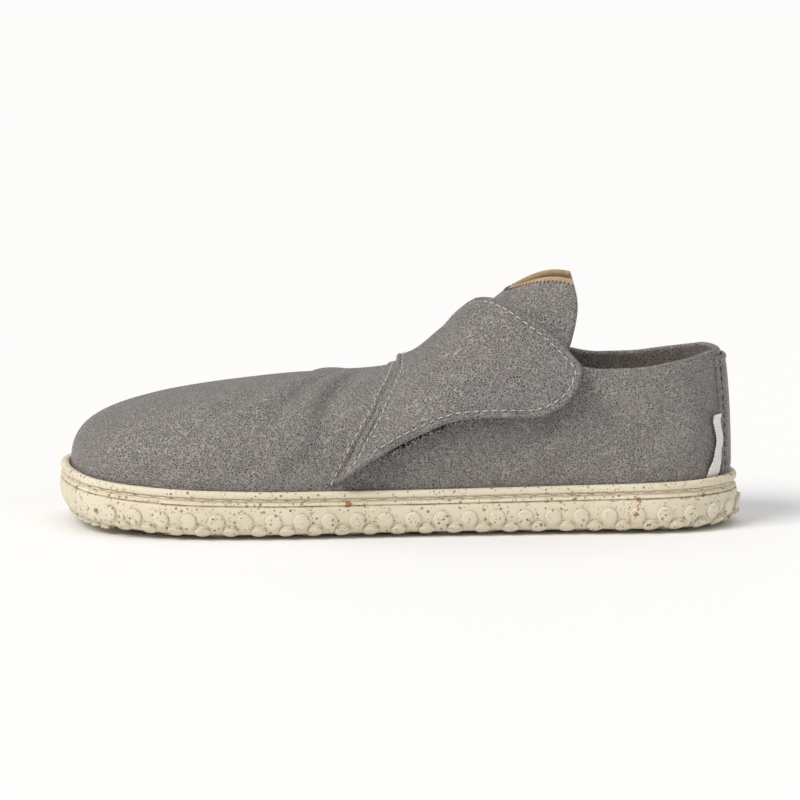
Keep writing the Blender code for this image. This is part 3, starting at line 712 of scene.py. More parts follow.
def leather_finish(name, tone, vein_tone, pit_tone, roughness=0.42):
    """Grey nappa-like microfibre: light crackled veins round fine drawn-out dark pits, satin."""
    material, tree = new_finish(name, roughness, Specular_IOR_Level=0.45)
    place = object_place(tree)
    turned = add_node(tree, "ShaderNodeVectorRotate", {0: place, "Angle": GRAIN_TURN},
                      rotation_type="Y_AXIS")
    drawn = vectors_worked(tree, "MULTIPLY", turned, GRAIN_DRAWN)
    bent = warped(tree, drawn, GRAIN * 2.2, GRAIN * 1.2)
    edges = cells(tree, bent, GRAIN, "DISTANCE_TO_EDGE")["Distance"]
    veins = spread(tree, edges, 0.02, 0.15, 1.0, 0.0)
    pits = spread(tree, edges, 0.18, 0.38)
    clouds = noise(tree, place, LEATHER_CLOUD, 4.0, 0.6)
    shade = mixed(tree, spread(tree, clouds, 0.35, 0.66), *tone)
    patchy = spread(tree, noise(tree, place, LEATHER_PATCH), 0.34, 0.62, 0.75, 1.0)
    shade = mixed(tree, times(tree, veins, patchy), shade, vein_tone)
    shade = mixed(tree, times(tree, pits, patchy), shade, pit_tone)
    gloss = spread(tree, veins, 0.0, 1.0, roughness + 0.10, roughness - 0.08)
    soft = bumped(tree, noise(tree, place, LEATHER_SWELL, 2.0), SWELL_HEIGHT, 0.6)
    crown = spread(tree, edges, 0.02, 0.30, 1.0, 0.0)
    return linked(material, Base_Color=shade, Roughness=gloss,
                  Normal=bumped(tree, crown, GRAIN_HEIGHT, 0.8, soft))


# Specks in the rubber. size: the cell that holds one. share: of the cells that do. more: what
# is added to that share along the moulded line. reach: radius as a share of the cell. depth:
# how strongly it covers. ragged: how torn its outline is.
Speck = namedtuple("Speck", "size share more reach colour depth ragged")
SPECKS = [Speck(*row) for row in (
    (0.00095, 0.85, 0.0, 0.30, "9A8B6E", 0.62, 0.6),
    (0.00150, 0.62, 0.1, 0.26, "6B5C44", 0.82, 0.9),
    (0.00220, 0.50, 0.3, 0.20, "94703F", 0.80, 1.2),
    (0.00400, 0.18, 0.5, 0.22, "976530", 0.90, 1.9),
)]


def rubber_finish():
    """Cream moulded rubber with ground cork in it: rust flecks, brown-grey dots, fine scuffs."""
    material, tree = new_finish("moulded cream rubber with cork", 0.58, Specular_IOR_Level=0.42)
    place = object_place(tree)
    near_line, line, painted_hollow_shade = [
        add_node(tree, "ShaderNodeAttribute", attribute_name=mark).outputs["Fac"]
        for mark in ("near_line", "line", "painted_hollow_shade")]
    clouds = noise(tree, place, RUBBER_CLOUD, 4.0, 0.55)
    shade = mixed(tree, spread(tree, clouds, 0.32, 0.68), "DACFB6", "E2D9C3")
    gathered = spread(tree, noise(tree, place, SPECK_CLOUD, 2.0), 0.38, 0.60, 0.35, 1.25)
    for speck in SPECKS:
        radius = speck.size * speck.reach
        found = cells(tree, warped(tree, place, radius * 1.1, radius * speck.ragged), speck.size)
        pick = add_node(tree, "ShaderNodeSeparateColor", {0: found["Color"]}).outputs
        share = worked(tree, "ADD", times(tree, near_line, speck.more), speck.share)
        chosen = worked(tree, "LESS_THAN", pick[0], times(tree, share, gathered))
        size = spread(tree, pick[1], 0.0, 1.0, speck.reach * 0.5, speck.reach * 1.25)
        near = worked(tree, "SUBTRACT", size, found["Distance"])
        cover = spread(tree, near, 0.0, 0.05, 0.0, speck.depth)
        shade = mixed(tree, times(tree, cover, chosen), shade, speck.colour)
    broken = spread(tree, noise(tree, place, LINE_BREAK, 3.0, 0.6), 0.36, 0.60, 0.35, 0.95)
    shade = mixed(tree, times(tree, line, broken), shade, "7C5A38")
    # Painted shade: darker tan along the stitch groove and round the foot of each lug.
    shade = mixed(tree, times(tree, painted_hollow_shade, 0.55), shade, "A08D6C")
    bent = warped(tree, place, SCRATCH_CLOUD, SCRATCH_CLOUD)
    scuff = cells(tree, bent, SCRATCH_CELL, "DISTANCE_TO_EDGE")["Distance"]
    rare = spread(tree, noise(tree, place, SCRATCH_CLOUD, 1.0), 0.63, 0.66)
    scratched = times(tree, spread(tree, scuff, 0.02, 0.045, 1.0, 0.0), rare)
    shade = mixed(tree, times(tree, scratched, 0.7), shade, "8A7B60")
    pitted = bumped(tree, noise(tree, place, RUBBER_PIT, 3.0, 0.6), PIT_DEPTH, 0.6)
    waved = bumped(tree, noise(tree, place, RUBBER_WAVE, 2.0), WAVE_HEIGHT, 0.4, pitted)
    cut = worked(tree, "SUBTRACT", 1.0, scratched)
    return linked(material, Base_Color=shade, Roughness=spread(tree, clouds, 0.3, 0.7, 0.50, 0.66),
                  Normal=bumped(tree, cut, SCRATCH_DEPTH, 0.6, waved))


def woven_finish(name, tone, gap_tone, pitch):
    """Plain-woven textile: threads over and under each other, drawn by the piece's own UVs."""
    material, tree = new_finish(name, 0.85, Sheen_Weight=0.15, Specular_IOR_Level=0.25)
    waves = [worked(tree, "SINE", times(tree, way, math.pi / pitch))
             for way in grid_place(tree)[:2]]
    threads = worked(tree, "ABSOLUTE", times(tree, *waves))
    shade = mixed(tree, spread(tree, threads, 0.05, 0.55), gap_tone, tone)
    hand = noise(tree, object_place(tree), 0.004)
    shade = mixed(tree, spread(tree, hand, 0.3, 0.7, 0.0, 0.25), shade, gap_tone)
    return linked(material, Base_Color=shade, Normal=bumped(tree, threads, WEAVE_HEIGHT, 0.9))


def ribbon_finish():
    """White woven ribbon: fine diagonal twill."""
    material, tree = new_finish("white twill ribbon", 0.72, Sheen_Weight=0.2,
                                Specular_IOR_Level=0.3)
    # The real twill has about 3 ribs to a millimetre; it is drawn at 1.1 so that it shows.
    diagonal = worked(tree, "ADD", *grid_place(tree)[:2])
    ribs = worked(tree, "SINE", times(tree, diagonal, 2.0 * math.pi / TWILL_PITCH))
    shade = mixed(tree, spread(tree, ribs, -1.0, 0.4), "CBC8C7", "FCFAF7")
    return linked(material, Base_Color=shade, Normal=bumped(tree, ribs, TWILL_HEIGHT, 0.8))


def pile_finish(name):
    """Black nylon of a hook-and-loop closure: a fuzzy mat. Its glints are painted, on light fibres
    of their own.
    """
    material, tree = new_finish(name, 0.82, Specular_IOR_Level=0.3)
    tangle = noise(tree, object_place(tree), 0.0005, 4.0, 0.75, 1.0)
    shade = mixed(tree, spread(tree, tangle, 0.55, 0.78), "0C0C0E", "26272B")
    return linked(material, Base_Color=shade, Normal=bumped(tree, tangle, 0.0005, 1.0))


def thread_finish(name, tone, shade_tone):
    """Polyester sewing thread: two twisted plies with a slight shine."""
    material, tree = new_finish(name, 0.48, Sheen_Weight=0.1)
    plies = noise(tree, object_place(tree), 0.0007, 2.0)
    shade = mixed(tree, spread(tree, plies, 0.35, 0.65), tone, shade_tone)
    return linked(material, Base_Color=shade, Normal=bumped(tree, plies, 0.0001, 0.6))


def hole_shade_finish(name, tone, light_tone):
    """Painted shade of a needle hole: a dark bead where the material closes round the thread."""
    material, tree = new_finish(name, 0.9, Specular_IOR_Level=0.1)
    depth = noise(tree, object_place(tree), 0.0004, 1.0)
    return linked(material, Base_Color=mixed(tree, depth, tone, light_tone))


def run_lengths(points, axis):
    """Distance run along one axis of a grid of points, in metres."""
    steps = np.linalg.norm(np.diff(points, axis=axis), axis=-1)
    shape = list(points.shape[:-1])
    shape[axis] = 1
    return np.cumsum(np.concatenate([np.zeros(shape), steps], axis=axis), axis=axis)


def point_at(place, run, points):
    """The point at a distance along a line of points."""
    return [np.interp(place, run, points[:, k]) for k in range(3)]


def add_object(name, data):
    """Puts a mesh, a light or a camera in the scene."""
    made = bpy.data.objects.new(name, data)
    bpy.context.scene.collection.objects.link(made)
    return made


def add_piece(name, blocks, finishes, marks=None):
    """One smooth mesh from grids of points, welded where they meet.

    blocks holds (points, finish number, mask of the faces to keep or None). Each face keeps
    its place on its grid, in metres, as UVs. marks holds named values for every point.
    """
    places, faces, slots, uvs = [], [], [], []
    start = 0
    for points, slot, mask in blocks:
        rows, columns = points.shape[:2]
        places.append(points.reshape(-1, 3))
        index = start + np.arange(rows * columns).reshape(rows, columns)
        quads = np.stack([index[:-1, :-1], index[:-1, 1:], index[1:, 1:], index[1:, :-1]], -1)
        flat = np.stack([run_lengths(points, 1), run_lengths(points, 0)], -1).reshape(-1, 2)
        quads = quads.reshape(-1, 4)
        if mask is not None:
            quads = quads[mask]
        faces.append(quads)
        slots.append(np.full(len(quads), slot))
        uvs.append(flat[quads - start].reshape(-1, 2))
        start += rows * columns
    mesh = bpy.data.meshes.new(name)
    mesh.from_pydata(np.concatenate(places), [], np.concatenate(faces).tolist())
    mesh.polygons.foreach_set("material_index", np.concatenate(slots).astype(np.int32))
    mesh.uv_layers.new(name="metres").data.foreach_set("uv", np.concatenate(uvs).ravel())
    for mark, values in (marks or {}).items():
        layer = mesh.attributes.new(mark, "FLOAT", "POINT")
        layer.data.foreach_set("value", np.asarray(values, np.float32))
    bm = bmesh.new()
    bm.from_mesh(mesh)
    bmesh.ops.delete(bm, geom=[v for v in bm.verts if not v.link_faces], context="VERTS")
    bmesh.ops.remove_doubles(bm, verts=bm.verts, dist=WELD)
    bmesh.ops.recalc_face_normals(bm, faces=bm.faces)
    bm.to_mesh(mesh)
    bm.free()
    mesh.shade_smooth()
    for finish in finishes:
        mesh.materials.append(finish)
    return add_object(name, mesh)


def settle(piece, slot, *nodes):
    """The piece rides on the shoe's one body and stands for the solids that it dresses."""
    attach(piece, "root")
    if nodes:
        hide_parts(*nodes)
    return piece


def spaced(length, count):
    """Places from 0 to 1 along a sheet of the given length, close together at its edges."""
    steps = np.array(EDGE_STEPS) * MM
    border = steps[steps < 0.3 * length] / length
    inner = np.linspace(border[-1], 1.0 - border[-1], count)
    return np.concatenate([border[:-1], inner, 1.0 - border[-2::-1]])


def sheet_grid(sheet):
    """Two grids over a sheet, from 0 to 1 along it and across it."""
    return grid(spaced(sheet.length, sheet.rows), spaced(sheet.width, sheet.columns))


def line_distance(points, line):
    """Distance of each point of a grid from the nearest segment of a line of points."""
    nearest = np.full(points.shape[:-1], np.inf)
    for start, way in zip(line[:-1], np.diff(line, axis=0)):
        share = np.sum((points - start) * way, -1) / max(float(np.dot(way, way)), 1e-15)
        foot = start + np.clip(share, 0.0, 1.0)[..., None] * way
        nearest = np.minimum(nearest, np.linalg.norm(points - foot, axis=-1))
    return nearest


def edge_distance(points):
    """Distance of each point of a grid from the grid's border."""
    border = [points[0], points[:, -1], points[-1, ::-1], points[::-1, 0]]
    return line_distance(points, np.concatenate(border))


def add_sheet(name, turns, acrosses, lifts, thickness, finishes, face_rise=0.0, lined=None):
    """A sheet with rounded edges over places on the last. lifts: its underside off the upper.

    face_rise adds height to the outer face. lined marks the places of the outer face that
    show the second finish, which the inner face has all over.
    """
    middle = skin(turns, acrosses, lifts + thickness / 2.0)
    radius = thickness / 2.0
    reach = np.clip(edge_distance(middle) / radius, 0.0, 1.0)
    half = radius * np.sqrt(1.0 - (1.0 - reach) ** 2)
    normals = last_normal(turns, acrosses)
    outer = middle + (half + face_rise * reach)[..., None] * normals
    inner = middle - half[..., None] * normals
    if lined is None:
        blocks = [(outer, 0, None), (inner, 1, None)]
    else:
        mask = (lined[:-1, :-1] & lined[1:, 1:]).reshape(-1)
        blocks = [(outer, 0, ~mask), (outer, 1, mask), (inner, 1, None)]
    return add_piece(name, blocks, finishes)


def sided_profile():
    """Rows of the sole's side, finer than its table, with the moulded line added."""
    rows = np.arange(len(SOLE_SIDE), dtype=float)
    out_at = smooth_curve(rows, [row.out for row in SOLE_SIDE])
    up_at = smooth_curve(rows, [row.up for row in SOLE_SIDE])
    steps = np.linspace(0.0, rows[-1], SIDE_STEPS * (len(rows) - 1) + 1)
    wall = RIM_HEIGHT - LUG_DEPTH
    between = np.linspace(3.0, 4.0, 50)
    middle = np.interp(LINE_UP, up_at(between), between)
    per_metre = 1.0 / (wall * (SOLE_SIDE[4].up - SOLE_SIDE[3].up))
    beside = np.array([-2.2, -1.2, -0.5, 0.0, 0.5, 1.2, 2.2]) * LINE_WIDTH * per_metre
    steps = np.sort(np.concatenate([steps, middle + beside]))
    up = up_at(steps)
    gap = (up - LINE_UP) * wall / LINE_WIDTH
    out = out_at(steps) * RIM_WALL - LINE_DEPTH * np.exp(-gap * gap)
    return out, up, np.exp(-gap * gap), np.exp(-((gap * LINE_WIDTH / LINE_NEAR) ** 2))


def outline_ring(angles, out, heights):
    """One ring of points around the outline."""
    x, y = outline_point(angles, out)
    return np.stack([x, y, np.broadcast_to(heights, x.shape)], axis=-1)


def side_ring(angles, out, share):
    """One ring of points on the sole's side."""
    x, y = outline_point(angles, out)
    return np.stack([x, y, side_height(share, half_turn(angles), x)], axis=-1)


def floor_rings(angles, first_inset, height, count=7):
    """Rings from near the outline to the long axis, at a height that depends on x."""
    x, y = outline_point(angles, -first_inset)
    mirrored_y = np.interp(x, x[:STATIONS + 1], y[:STATIONS + 1])
    other_y = np.interp(x, x[:STATIONS - 1:-1], y[:STATIONS - 1:-1])
    axis_y = (mirrored_y + other_y) / 2.0
    rings = []
    for share in np.linspace(0.0, 1.0, count):
        rings.append(np.stack([x, y + (axis_y - y) * share, height(x)], axis=-1))
    return rings


def build_outsole(rubber):
    """Cup sole with its rolled rim, stitch groove, moulded line and flared side."""
    angles = ring_angles()
    out, up, line, near_line = sided_profile()
    inset = BASE_INSET * RIM_WALL
    under = floor_rings(angles, inset, base_height)[::-1]
    cup = [outline_ring(angles, -RIM_WALL, cup_floor(outline_point(angles)[0]))]
    cup += floor_rings(angles, inset, cup_floor)
    sides = [side_ring(angles, *place) for place in zip(out, up)]
    # Painted shade along the stitch groove, on the outside rows of the sole's side only.
    painted_hollow_shade = np.exp(-((up - GROOVE_UP) / GROOVE_SPREAD) ** 2) * (np.arange(len(up)) < OUTSIDE_ROWS)
    marks = {}
    for mark, values in (("line", line), ("near_line", near_line), ("painted_hollow_shade", painted_hollow_shade)):
        values = np.concatenate([np.zeros(len(under)), values, np.zeros(len(cup))])
        marks[mark] = np.repeat(values, len(angles))
    made = add_piece("sole_cup", [(np.array(under + sides + cup), 0, None)], [rubber], marks)
    return settle(made, "outsole_rubber", "outsole")


SOCKET_KINDS = {float: "NodeSocketFloat", int: "NodeSocketInt", type(None): "NodeSocketMaterial"}


def group_tree(name, inputs):
    """A geometry tree with named inputs. Returns the tree, its given values and its end."""
    tree = bpy.data.node_groups.new(name, "GeometryNodeTree")
    for way in ("OUTPUT", "INPUT"):
        tree.interface.new_socket("Geometry", in_out=way, socket_type="NodeSocketGeometry")
    for label, value in inputs.items():
        socket = tree.interface.new_socket(label, in_out="INPUT",
                                           socket_type=SOCKET_KINDS[type(value)])
        if value is not None:
            socket.default_value = value
    given = add_node(tree, "NodeGroupInput").outputs
    return tree, given, add_node(tree, "NodeGroupOutput")


def painted(tree, geometry, finish):
    """Geometry in a finish."""
    return add_node(tree, "GeometryNodeSetMaterial", {0: geometry, "Material": finish})


def point_value(tree, name, kind):
    """A named value of the points."""
    return add_node(tree, "GeometryNodeInputNamedAttribute", {"Name": name}, data_type=kind)


def turned_to(tree, way, axis, first=None, **pivot):
    """A turn that points an axis along a direction, after a first turn where there is one."""
    sockets = {"Vector": way} if first is None else {"Vector": way, "Rotation": first}
    return add_node(tree, "FunctionNodeAlignRotationToVector", sockets, axis=axis, **pivot)


def placed_on(tree, points, shape, turn, size):
    """Copies of a shape on points."""
    return add_node(tree, "GeometryNodeInstanceOnPoints",
                    {"Points": points, "Instance": shape, "Rotation": turn, "Scale": size})


def close_tree(tree, ending, geometry, finish=None):
    """Ends a tree with real geometry, in one finish unless its parts have theirs."""
    real = add_node(tree, "GeometryNodeRealizeInstances", {0: geometry})
    made = add_node(tree, "GeometryNodeSetShadeSmooth", {0: real})
    if finish is not None:
        made = painted(tree, made, finish)
    tree.links.new(made.outputs[0], ending.inputs[0])
    return tree


def stitch_tree():
    """Stitches at equal steps along paths: short rounded thread between beads of painted hole
    shade.
    """
    tree, given, ending = group_tree("stitch row", {
        "Pitch": STITCH_PITCH, "Length": STITCH_LENGTH, "Thickness": THREAD, "Slant": 0.10,
        "Hole": NEEDLE_HOLE, "Hole shade finish": None, "Material": None, "Seed": 3})
    curve = add_node(tree, "GeometryNodeMeshToCurve", {0: given["Geometry"]})
    even = add_node(tree, "GeometryNodeResampleCurve",
                    {"Curve": curve, "Length": given["Pitch"]}, mode="LENGTH")
    bead = add_node(tree, "GeometryNodeMeshUVSphere", {"Segments": 8, "Rings": 6, "Radius": 0.5})
    along = turned_to(tree, add_node(tree, "GeometryNodeInputTangent"), "X")
    facing = point_value(tree, "facing", "FLOAT_VECTOR")
    upright = turned_to(tree, facing, "Z", along, pivot_axis="X")
    wobble = add_node(tree, "FunctionNodeRandomValue",
                      {2: -0.06, 3: 0.06, "Seed": given["Seed"]}, data_type="FLOAT")
    angle = worked(tree, "ADD", given["Slant"], wobble.outputs[1])
    turn = add_node(tree, "FunctionNodeAxisAngleToRotation",
                    {"Axis": (0.0, 0.0, 1.0), "Angle": angle})
    slanted = add_node(tree, "FunctionNodeRotateRotation", {0: upright, 1: turn},
                       rotation_space="LOCAL")
    size = vector(tree, given["Length"], given["Thickness"], given["Thickness"])
    sewn = placed_on(tree, even, bead, slanted, size)
    # Flattened dark beads half a step along: painted shade at the needle holes.
    dot = vector(tree, given["Hole"], given["Hole"], times(tree, given["Thickness"], 0.60))
    hole_shades = placed_on(tree, even, bead, upright, dot)
    shift = vector(tree, times(tree, given["Pitch"], 0.5))
    between = add_node(tree, "GeometryNodeTranslateInstances",
                       {"Instances": hole_shades, "Translation": shift})
    joined = add_node(tree, "GeometryNodeJoinGeometry")
    for part, finish in ((sewn, "Material"), (between, "Hole shade finish")):
        tree.links.new(painted(tree, part, given[finish]).outputs[0], joined.inputs[0])
    return close_tree(tree, ending, joined)


def lug_tree():
    """Round moulded lugs on points: flat tops with a soft edge, each along its own axis."""
    tree, given, ending = group_tree("round lugs", {
        "Height": LUG_PROUD, "Softness": 0.26, "Material": None})
    ball = add_node(tree, "GeometryNodeMeshUVSphere", {"Segments": 20, "Rings": 12, "Radius": 1.0})
    parts = parted(tree, add_node(tree, "GeometryNodeInputPosition"))
    size = worked(tree, "ABSOLUTE", parts[2])
    flat = worked(tree, "POWER", size, given["Softness"])
    level = times(tree, flat, worked(tree, "SIGN", parts[2]))
    pressed = add_node(tree, "GeometryNodeSetPosition", {
        "Geometry": ball, "Position": vector(tree, parts[0], parts[1], level)})
    # Painted shade round each lug's foot, strongest where it meets the sole.
    foot = spread(tree, size, 0.0, 0.42, 1.0, 0.0)
    button = add_node(tree, "GeometryNodeStoreNamedAttribute",
                      {"Geometry": pressed, "Name": "painted_hollow_shade", "Value": foot},
                      data_type="FLOAT", domain="POINT")
    turn = turned_to(tree, point_value(tree, "facing", "FLOAT_VECTOR"), "Z")
    radius = point_value(tree, "radius", "FLOAT")
    scale = vector(tree, radius, radius, given["Height"])
    placed = placed_on(tree, given["Geometry"], button, turn, scale)
    return close_tree(tree, ending, placed, given["Material"])


def fibre_tree():
    """Short fibres standing out of a mat, thin three-sided spikes leaning every way."""
    tree, given, ending = group_tree("fibres", {
        "Density": 6.0e6, "Length": 0.0009, "Width": 0.00007, "Material": None, "Seed": 7})
    spots = add_node(tree, "GeometryNodeDistributePointsOnFaces", {
        "Mesh": given["Geometry"], "Density": given["Density"], "Seed": given["Seed"]})
    spike = add_node(tree, "GeometryNodeMeshCone", {
        "Vertices": 3, "Side Segments": 1, "Fill Segments": 1, "Radius Top": 0.2,
        "Radius Bottom": 1.0, "Depth": 1.0})
    lean = add_node(tree, "FunctionNodeRandomValue", {
        0: (-1.1, -1.1, -1.1), 1: (1.1, 1.1, 1.1), "Seed": given["Seed"]},
                    data_type="FLOAT_VECTOR")
    turn = turned_to(tree, vectors_worked(tree, "ADD", spots.outputs["Normal"], lean), "Z")
    size = vector(tree, given["Width"], given["Width"], given["Length"])
    return close_tree(tree, ending, placed_on(tree, spots, spike, turn, size), given["Material"])


def grow(name, base, tree, values):
    """Runs a tree on a mesh and returns the result as a plain mesh piece."""
    holder = add_object(name + "_base", base)
    modifier = holder.modifiers.new("grow", "NODES")
    modifier.node_group = tree
    for item in tree.interface.items_tree:
        if item.in_out == "INPUT" and item.name in values:
            modifier[item.identifier] = values[item.name]
    bpy.context.view_layer.update()
    seen = holder.evaluated_get(bpy.context.evaluated_depsgraph_get())
    mesh = bpy.data.meshes.new_from_object(seen)
    holder.modifiers.remove(modifier)
    bpy.data.objects.remove(holder, do_unlink=True)
    return add_object(name, mesh)


def marked_points(name, places, facing, radius=None, paths=None):
    """Loose points, or paths of points, with the direction that each one faces."""
    edges = []
    start = 0
    for count in paths or []:
        edges += [(i, i + 1) for i in range(start, start + count - 1)]
        start += count
    mesh = bpy.data.meshes.new(name)
    mesh.from_pydata(np.asarray(places, float), edges, [])
    layer = mesh.attributes.new("facing", "FLOAT_VECTOR", "POINT")
    layer.data.foreach_set("vector", np.asarray(facing, np.float32).ravel())
    if radius is not None:
        layer = mesh.attributes.new("radius", "FLOAT", "POINT")
        layer.data.foreach_set("value", np.asarray(radius, np.float32))
    return mesh


def sew(name, tree, paths, thread, hole, slot, **values):
    """Rows of stitches along paths. Each path holds its points and the way that they face."""
    places = np.concatenate([path for path, facing in paths])
    ways = np.concatenate([facing for path, facing in paths])
    counts = [len(path) for path, facing in paths]
    base = marked_points(name, places, ways, paths=counts)
    given = {"Material": thread, "Hole shade finish": hole, **values}
    return settle(grow(name, base, tree, given), slot)


def arc_angles(pitch, inset, start, end):
    """Angles at equal steps of length along the outline moved inwards by a distance."""
    dense = np.linspace(start, end, 1441)
    run = outline_run(dense, inset)
    count = 2 * max(1, int(round(run[-1] / pitch / 2.0)))
    return np.interp((np.arange(count) + 0.5) * run[-1] / count, run, dense)


def lay_lugs(name, tree, places, ways, radii, height, rubber):
    """Lugs of given radii on points, each facing its own way."""
    base = marked_points(name, places, ways, radii)
    grown = grow(name, base, tree, {"Height": height, "Material": rubber})
    return settle(grown, "outsole_rubber")


def build_side_lugs(tree, rubber):
    """Zigzag row of round lugs on the sole's side, behind the smooth toe."""
    toe_turn = float(turn_of(TOE_SHARE))
    angles = arc_angles(LUG_PITCH, 0.0, toe_turn, 2.0 * math.pi - toe_turn)
    places, ways = [], []
    for number, angle in enumerate(angles):
        spot = LOW_LUG if number % 2 else HIGH_LUG
        x, y = outline_point(angle, spot.out * RIM_WALL)
        away_x, away_y = outline_point(angle, spot.out * RIM_WALL + 1.0)
        droop = math.radians(spot.droop)
        places.append((x, y, side_height(spot.up, half_turn(angle), x)))
        ways.append(((away_x - x) * math.cos(droop), (away_y - y) * math.cos(droop),
                     -math.sin(droop)))
    radii = [LUG_RADIUS] * len(places)
    return lay_lugs("side_lugs", tree, places, ways, radii, LUG_PROUD, rubber)


def build_tread_lugs(tree, rubber):
    """Round lugs under the sole: close ones at the toe, then staggered rows."""
    toe_turn = float(turn_of(TOE_SHARE))
    edge_inset = TOE_LUG_INSET * RIM_WALL
    spots = []
    for angle in arc_angles(TOE_LUG_PITCH, edge_inset, -toe_turn, toe_turn):
        x, y = outline_point(angle, -edge_inset)
        spots.append((x, y, TOE_LUG_RADIUS))
    clear = edge_inset + TREAD_RADIUS + TREAD_CLEAR
    border_x, border_y = outline_point(np.linspace(0.0, 2.0 * math.pi, 361), -clear)
    half = len(border_x) // 2
    row_step = TREAD_PITCH * math.sqrt(3.0) / 2.0
    row_count = int((LENGTH / 2.0 - clear) / row_step)
    for row in range(-row_count, row_count + 1):
        x = row * row_step - HEEL_LUG_REACH
        low_y = np.interp(x, border_x[:half + 1], border_y[:half + 1])
        high_y = np.interp(x, border_x[:half - 1:-1], border_y[:half - 1:-1])
        count = int(round((high_y - low_y) / TREAD_PITCH)) + 1 + row % 2
        for y in np.linspace(low_y, high_y, max(2, count)):
            spots.append((x, y, TREAD_RADIUS))
    x, y, radii = np.array(spots).T
    downwards = [(0.0, 0.0, -1.0)] * len(spots)
    return lay_lugs("tread_lugs", tree, np.stack([x, y, base_height(x)], -1), downwards, radii,
                    LUG_DEPTH, rubber)


def build_sole_stitches(tree, thread, hole):
    """Stitches sunk in the groove under the sole's rim."""
    angles = np.linspace(0.0, 2.0 * math.pi, 900)
    path = side_ring(angles, GROOVE_OUT * RIM_WALL + GROOVE_PROUD, GROOVE_UP)
    away = side_ring(angles, GROOVE_OUT * RIM_WALL + 1.0, GROOVE_UP)
    return sew("sole_stitches", tree, [(path, away - path)], thread, hole, "outsole_rubber",
               **SOLE_STITCH)


def upper_rows(angles, lift):
    """Points of one face of the upper: rows inside the cup, then up to the open edge."""
    turns = half_turn(angles)
    side = np.where(angles > math.pi, 1.0, -1.0)
    share = share_of(turns)
    open_edge = np.where(share < THROAT_SHARE, 0.0, OPEN_EDGE(share))
    rows = []
    for drop in (1.0, 0.66, 0.33):
        x, y = outline_point(angles, -(RIM_WALL + FIT_GAP) + lift)
        low = cup_floor(x) + FIT_GAP
        rows.append(np.stack([x, y, rim_height(turns) - drop * (rim_height(turns) - low)], -1))
    acrosses = []
    for row in range(WALL_ROWS + 1):
        across = side * (1.0 - (1.0 - open_edge) * row / WALL_ROWS)
        across = np.where(np.abs(across) < 1e-9, -1e-9, across)
        acrosses.append(across)
        rows.append(skin(turns, across, np.full(turns.shape, lift)))
    return np.array(rows), np.array(acrosses), turns


def build_upper(leather, lining, band):
    """Vamp and quarters: one wall with a rolled collar, grey outside, woven lining inside."""
    angles = ring_angles()
    outer, _, turns = upper_rows(angles, 0.0)
    inner = upper_rows(angles, -UPPER_WALL)[0]
    share = share_of(turns)
    opened = share >= THROAT_SHARE
    middle = (outer[-1] + inner[-1]) / 2.0
    facing = outer[-1] - middle
    upward = outer[-1] - outer[-2] + inner[-1] - inner[-2]
    upward = upward - facing * np.sum(upward * facing, -1, keepdims=True) / np.sum(
        facing * facing, -1, keepdims=True)
    upward = upward / np.maximum(np.linalg.norm(upward, axis=-1, keepdims=True), 1e-9)
    bulge = UPPER_WALL / 2.0 * ease(THROAT_SHARE, THROAT_SHARE + 0.03, share)
    roll = []
    for bend in np.linspace(0.0, math.pi, COLLAR_ROLL):
        roll.append(middle + facing * math.cos(bend)
                    + upward * (bulge * math.sin(bend))[:, None])
    roll = np.array(roll)
    open_faces = opened[:-1] & opened[1:]
    mask = np.tile(open_faces, (COLLAR_ROLL - 1, 1)).reshape(-1)
    bottom = np.array([outer[0], inner[0]])
    # The leather turns in over the collar for a finger's width, then the woven lining starts.
    heights = run_lengths(inner[::-1], 0)[::-1]
    turned = (heights[:-1] + heights[1:]) / 2.0 < BAND_DEPTH
    in_band = (turned[:, :-1] & opened[:-1][None, :]).reshape(-1)
    blocks = [(outer, 0, None), (roll, 0, mask), (inner, 1, ~in_band), (inner, 2, in_band),
              (bottom, 1, None)]
    return settle(add_piece("upper_shell", blocks, [leather, lining, band]),
                  "upper_leather", "upper")


def strap_place(run, width):
    """Places on the last of a grid over the strap. run and width go from 0 to 1."""
    front_along, front_across, rear_along, rear_across = [
        curve(run) for curve in table_curves(STRAP)]
    across = front_across + (rear_across - front_across) * width
    return turn_at(front_along + (rear_along - front_along) * width, across), across


def ridge_run():
    """Share of the strap's run at which it crosses the ridge line."""
    return [row.front_across for row in STRAP].index(0.0) / (len(STRAP) - 1)


def closure_stack(run, width):
    """Share of the closure's height under the strap: full at the free end's lower edge."""
    towards_end = (STACK_END - run / ridge_run()) / (STACK_END - STACK_FULL)
    towards_end = np.clip(towards_end, 0.0, 1.0)
    towards_edge = np.clip(width / STACK_WIDTH, 0.0, 1.0)
    rise = towards_end * towards_edge
    return rise * rise * (3.0 - 2.0 * rise)


def strap_lift(run, width):
    """Distance of the strap's underside from the upper."""
    full = LOOP_THICKNESS + HOOK_THICKNESS + 3.0 * DRAPE_GAP
    return LAID_GAP + (full - LAID_GAP) * closure_stack(run, width)


def strap_edge(inset):
    """Height that the strap's turned edge and its stitch line add to the outer face."""
    step = TURNED_RISE * (1.0 - ease(TURNED_EDGE - STEP_SOFTNESS, TURNED_EDGE + TURNED_RUN, inset))
    fold = -FOLD_DEPTH * np.exp(-(((inset - TURNED_EDGE) / FOLD_WIDTH) ** 2))
    pull = -PULL_DEPTH * np.exp(-(((inset - EDGE_TO_STITCH - PULL_INSET) / PULL_WIDTH) ** 2))
    return step + fold + pull


def build_strap(leather, lining):
    """Wide strap with a waved lower edge, from its free tip to its sewn base."""
    run, width = sheet_grid(STRAP_SHEET)
    turns, across = strap_place(run, width)
    lifts = strap_lift(run, width)
    inset = edge_distance(skin(turns, across, lifts))
    strap = add_sheet("wrap_strap", turns, across, lifts, STRAP_THICKNESS, [leather, lining],
                      strap_edge(inset))
    return settle(strap, "strap_leather", "strap")


